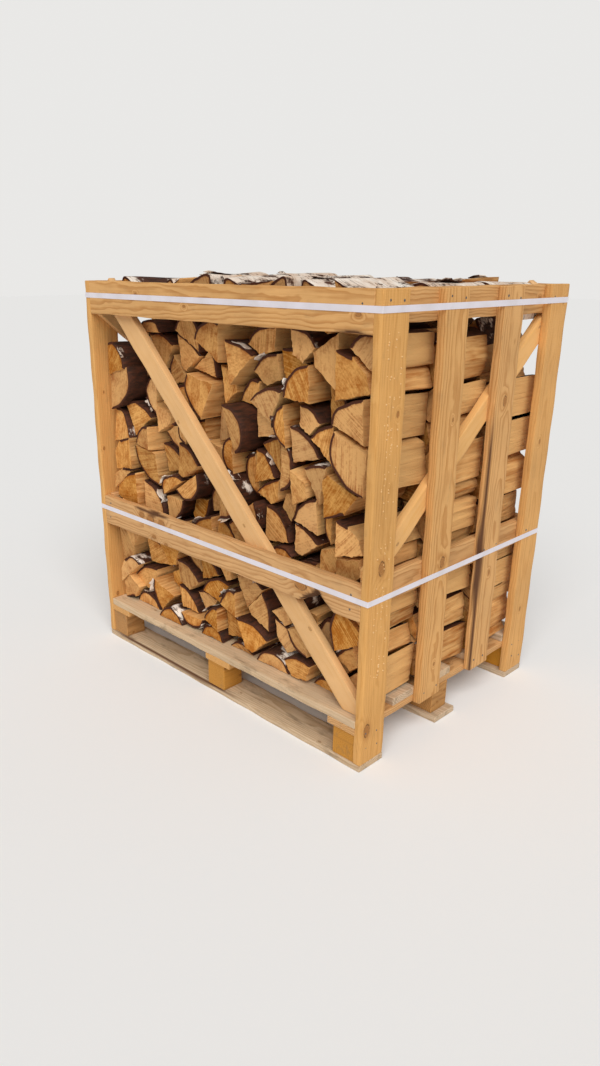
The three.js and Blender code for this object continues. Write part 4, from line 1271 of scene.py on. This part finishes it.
def birch_bark(settings):
    """Birch bark: white paper with dark dashes round the stem and black scars, worn through to red-brown."""
    material, tree = new_material("birch_bark")
    grain = add(tree, "Attribute", attribute_name="grain").outputs["Vector"]
    worn_off = add(tree, "Attribute", attribute_name="bare").outputs["Fac"]
    round_stem = add(tree, "VectorMath", {0: grain, 1: per(38, 3, 38)}, operation="MULTIPLY")
    dash = add(tree, "TexNoise", {"Vector": round_stem, "Scale": 1.0, "Detail": 3.0})
    dashed = add(tree, "MapRange", {0: dash, 1: 0.58, 2: 0.68, 3: 0.0, 4: 0.85})
    scar = add(tree, "TexNoise", {"Vector": grain, "Scale": per(53), "Detail": 7.0, "Roughness": 0.68})
    scarred = add(tree, "MapRange", {0: scar, 1: 0.56, 2: 0.62, 3: 0.0, 4: 1.0})
    worn_place = add(tree, "VectorMath", {0: grain, 1: (3, 1, 2)}, operation="ADD")
    worn = add(tree, "TexNoise", {"Vector": worn_place, "Scale": per(77), "Detail": 6.0, "Roughness": 0.62})
    bare = add(tree, "Math", {0: worn_off, 1: 0.4, 2: worn}, operation="MULTIPLY_ADD")
    brown = add(tree, "MapRange", {0: bare, 1: 0.64, 2: 0.7, 3: 0.0, 4: 1.0})
    marks = add(tree, "Math", {0: dashed, 1: scarred}, operation="MAXIMUM")
    faded = add(tree, "MapRange", {0: worn, 1: 0.36, 2: 0.62})
    paper = add(tree, "Mix", {0: faded, 6: settings.paper_bark, 7: linear("#CFAF93")}, data_type="RGBA")
    marked = add(tree, "Mix", {0: marks, 6: paper.outputs[2], 7: settings.bark_marks}, data_type="RGBA")
    fissures = add(tree, "VectorMath", {0: grain, 1: per(10.5, 45, 10.5)}, operation="MULTIPLY")
    rough = add(tree, "TexNoise", {"Vector": fissures, "Scale": 1.0, "Detail": 5.0, "Roughness": 0.65})
    crust = add(tree, "MapRange", {0: rough, 1: 0.36, 2: 0.68})
    under = add(tree, "Mix", {0: crust, 6: linear("#2B180D"), 7: settings.inner_bark}, data_type="RGBA")
    bark = add(tree, "Mix", {0: brown, 6: marked.outputs[2], 7: under.outputs[2]}, data_type="RGBA")
    sunk = add(tree, "Math", {0: scarred, 1: brown}, operation="ADD")
    height = add(tree, "Math", {0: sunk, 1: -0.6, 2: rough}, operation="MULTIPLY_ADD")
    bump = add(tree, "Bump", {"Height": height, "Strength": 0.7, "Distance": 2 * MM})
    shader = add(tree, "BsdfPrincipled", {
        "Base Color": bark.outputs[2], "Roughness": 0.7, "Normal": bump, "Specular IOR Level": 0.35,
    })
    add(tree, "OutputMaterial", {0: shader})
    return material


class CRATE_OT_firewood(bpy.types.Operator):
    """Stack the three rows of split logs, with the loose ones on top of the front row"""

    bl_idname = "crate.firewood"
    bl_label = "Firewood"

    def execute(self, context):
        settings = context.scene.crate_firewood
        looks = [birch_end_grain(settings), birch_split(settings), birch_bark(settings)]
        inner = {"front": ("back",), "middle": ("front", "back"), "back": ("front",)}
        for name in ROWS:
            body, top = row_of_logs(name)
            seed = ROWS[name]["seed"]
            if name == "front":
                for number, log in enumerate(top, 1):
                    piece, nodes = f"loose_log_{number:02d}", [f"top_log_{number:02d}"]
                    log_mesh(piece, [log], 400 + number, settings, looks, nodes, inner[name])
                top = []
            nodes = [f"firewood_{name}_row"]
            log_mesh(f"{name}_row_logs", body + top, seed, settings, looks, nodes, inner[name])
        return {"FINISHED"}


STRIP = (6, 8)  # points round the stem and along it


def bark_strips(name, logs, number, seed, sizes, material):
    """Strips of loose bark on the logs: each takes a patch of a log's bark, stands off it a little and curls
    away from it towards its free end, further by the cube of the way along, with ragged sides."""
    random = np.random.default_rng(seed)
    patches, outs = [], []
    barked = [log for log in logs if log["skin_bark"].sum() > STRIP[0]]
    for log in random.choice(barked, number):
        first = random.choice(np.flatnonzero(log["skin_bark"] & np.roll(log["skin_bark"], -STRIP[0])))
        ring = log["skin"][:, (first + np.arange(STRIP[0])) % SECTION]
        patches.append(ring[[0, -1]])
        outs.append(ring[0] - log["skin"][0].mean(0))
    patches, outs = np.array(patches), np.array(outs)
    outs[..., 1] = 0
    outs /= np.linalg.norm(outs, axis=-1, keepdims=True)
    along = np.linspace(0, 1, STRIP[1])[None, :, None]
    size = random.uniform(*sizes["long"], (number, 1, 1))
    start = patches[:, :1, :, 1] + between(sizes["start"], random.uniform(0, 1, (number, 1, 1)))
    y = start + size - along * size * (1 + 0.3 * random.uniform(-1, 1, (number, 1, STRIP[0])))
    near, far = patches[:, :1, :, 1], patches[:, 1:, :, 1]
    share = np.clip((y - near) / (far - near), -0.05, 1)[..., None]
    curl = random.uniform(*sizes["curl"], (number, 1, 1))
    wrinkle = random.normal(0, 0.0012, (number, STRIP[1], STRIP[0]))
    lift = 0.0012 + curl * along**3 + wrinkle * along
    points = patches[:, :1] + share * (patches[:, 1:] - patches[:, :1])
    points[..., 1] = y
    points = points + outs[:, None] * lift[..., None]
    index = np.arange(STRIP[0] * STRIP[1]).reshape(STRIP[1], STRIP[0])
    quads = np.stack([index[:-1, :-1], index[:-1, 1:], index[1:, 1:], index[1:, :-1]], axis=-1).reshape(-1, 4)
    shift = (np.arange(number) * index.size)[:, None, None]
    grain = points + random.uniform(0, 9, (number, 1, 1, 3))
    bare = np.repeat(random.uniform(0, 0.75, number), index.size)
    piece = new_piece(
        name, points.reshape(-1, 3), [(quads + shift).reshape(-1, 4)], [material],
        attributes={"grain": grain.reshape(-1, 3), "bare": bare},
    )
    shell = piece.modifiers.new("thickness", "SOLIDIFY")
    shell.thickness = 1.1 * MM
    shell.offset = 1


class CRATE_OT_bark_strips(bpy.types.Operator):
    """Peel strips of bark off the log ends and the top of the pile"""

    bl_idname = "crate.bark_strips"
    bl_label = "Loose bark"

    def execute(self, context):
        settings = context.scene.crate_firewood
        bark = bpy.data.materials["birch_bark"]
        ends = {"long": (0.02, 0.045), "start": (-0.012, 0.004), "curl": (0.002, 0.009)}
        bark_strips("bark_curls", row_of_logs("front")[0], settings.curls, 71, ends, bark)
        tops = {"long": (0.05, 0.12), "start": (0.0, 0.12), "curl": (0.001, 0.009)}
        loose = [log for name in ROWS for log in row_of_logs(name)[1]]
        bark_strips("top_bark_strips", loose, settings.curls // 2, 72, tops, bark)
        return {"FINISHED"}


# Stage

CAMERA_RIGHT = Vector((0.69776289, 0.71632272, 0.00295171))
CAMERA_DOWN = Vector((0.2583923, -0.24784993, -0.93370436))
CAMERA_FORWARD = Vector((-0.66810207, 0.65226695, -0.35803276))
SENSOR = 36.0  # millimetres, on the picture's longer side
PICTURE = (600, 1066)  # pixels
FOCAL_LENGTH = 777.0  # pixels
PICTURE_MIDDLE = (271.38, 563.83)  # pixels


class CRATE_OT_stage(bpy.types.Operator):
    """Set the camera, floor and light"""

    bl_idname = "crate.stage"
    bl_label = "Stage"

    def execute(self, context):
        settings = context.scene.crate_stage
        scene = context.scene
        camera = bpy.data.cameras.new("camera")
        camera.sensor_width = SENSOR
        camera.lens = FOCAL_LENGTH * SENSOR / PICTURE[1]
        camera.shift_x = (PICTURE[0] / 2 - PICTURE_MIDDLE[0]) / PICTURE[1]
        camera.shift_y = (PICTURE_MIDDLE[1] - PICTURE[1] / 2) / PICTURE[1]
        holder = bpy.data.objects.new("camera", camera)
        turn = Matrix((CAMERA_RIGHT, -CAMERA_DOWN, -CAMERA_FORWARD)).transposed().to_4x4()
        holder.matrix_world = Matrix.Translation(settings.camera_place) @ turn
        scene.collection.objects.link(holder)
        scene.camera = holder

        # A matt pale floor that takes the shadow
        material, tree = new_material("studio_floor")
        shader = add(tree, "BsdfDiffuse", {"Color": settings.floor})
        add(tree, "OutputMaterial", {0: shader})
        floor = bpy.data.meshes.new("floor")
        reach = 30.0
        corners = [(-reach, -reach, 0), (reach, -reach, 0), (reach, reach, 0), (-reach, reach, 0)]
        floor.from_pydata(corners, [], [(0, 1, 2, 3)])
        floor.materials.append(material)
        ground = bpy.data.objects.new("floor", floor)
        scene.collection.objects.link(ground)

        world = bpy.data.worlds.new("studio")
        world.use_nodes = True
        world.node_tree.nodes.clear()
        white = linear("#FFFFFF")
        sky = add(world.node_tree, "Background", {"Color": white, "Strength": settings.fill})
        backdrop = add(world.node_tree, "Background", {"Color": settings.floor, "Strength": 0.92})
        seen = add(world.node_tree, "LightPath").outputs["Is Camera Ray"]
        both = add(world.node_tree, "MixShader", {0: seen, 1: sky, 2: backdrop})
        add(world.node_tree, "OutputWorld", {0: both})
        scene.world = world
        light = bpy.data.lights.new("softbox", "SUN")
        light.energy = settings.key
        light.angle = settings.softness
        lamp = bpy.data.objects.new("softbox", light)
        lamp.rotation_euler = Vector(settings.light_from).to_track_quat("Z", "Y").to_euler()
        scene.collection.objects.link(lamp)
        scene.view_settings.view_transform = "Standard"
        return {"FINISHED"}


OPERATORS = (
    CRATE_OT_walls, CRATE_OT_braces, CRATE_OT_pallet, CRATE_OT_nails, CRATE_OT_straps, CRATE_OT_firewood,
    CRATE_OT_bark_strips, CRATE_OT_stage,
)


class CRATE_PT_panel(bpy.types.Panel):
    """The crate's pieces, in the order they are built"""

    bl_idname = "CRATE_PT_panel"
    bl_label = "Crate of Firewood"
    bl_space_type = "VIEW_3D"
    bl_region_type = "UI"
    bl_category = "Firewood"

    def draw(self, context):
        for operator in OPERATORS:
            self.layout.operator(operator.bl_idname)


SETTINGS = {
    "crate_boards": SawnBoardSettings,
    "crate_straps": StrapSettings,
    "crate_firewood": FirewoodSettings,
    "crate_stage": StageSettings,
}


def register():
    """Makes the settings, operators and panel known."""
    for settings in SETTINGS.values():
        bpy.utils.register_class(settings)
    for cls in (*OPERATORS, CRATE_PT_panel):
        bpy.utils.register_class(cls)
    for name, settings in SETTINGS.items():
        setattr(bpy.types.Scene, name, PointerProperty(type=settings))


def unregister():
    """Takes back what register made known."""
    for name in SETTINGS:
        delattr(bpy.types.Scene, name)
    for cls in (CRATE_PT_panel, *reversed(OPERATORS)):
        bpy.utils.unregister_class(cls)
    for settings in reversed(SETTINGS.values()):
        bpy.utils.unregister_class(settings)


def main():
    """Builds the crate and its stage."""
    register()
    bpy.ops.crate.walls()
    bpy.ops.crate.braces()
    bpy.ops.crate.pallet()
    bpy.ops.crate.nails()
    bpy.ops.crate.straps()
    bpy.ops.crate.firewood()
    bpy.ops.crate.bark_strips()
    bpy.ops.crate.stage()


if __name__ == "__main__":
    main()
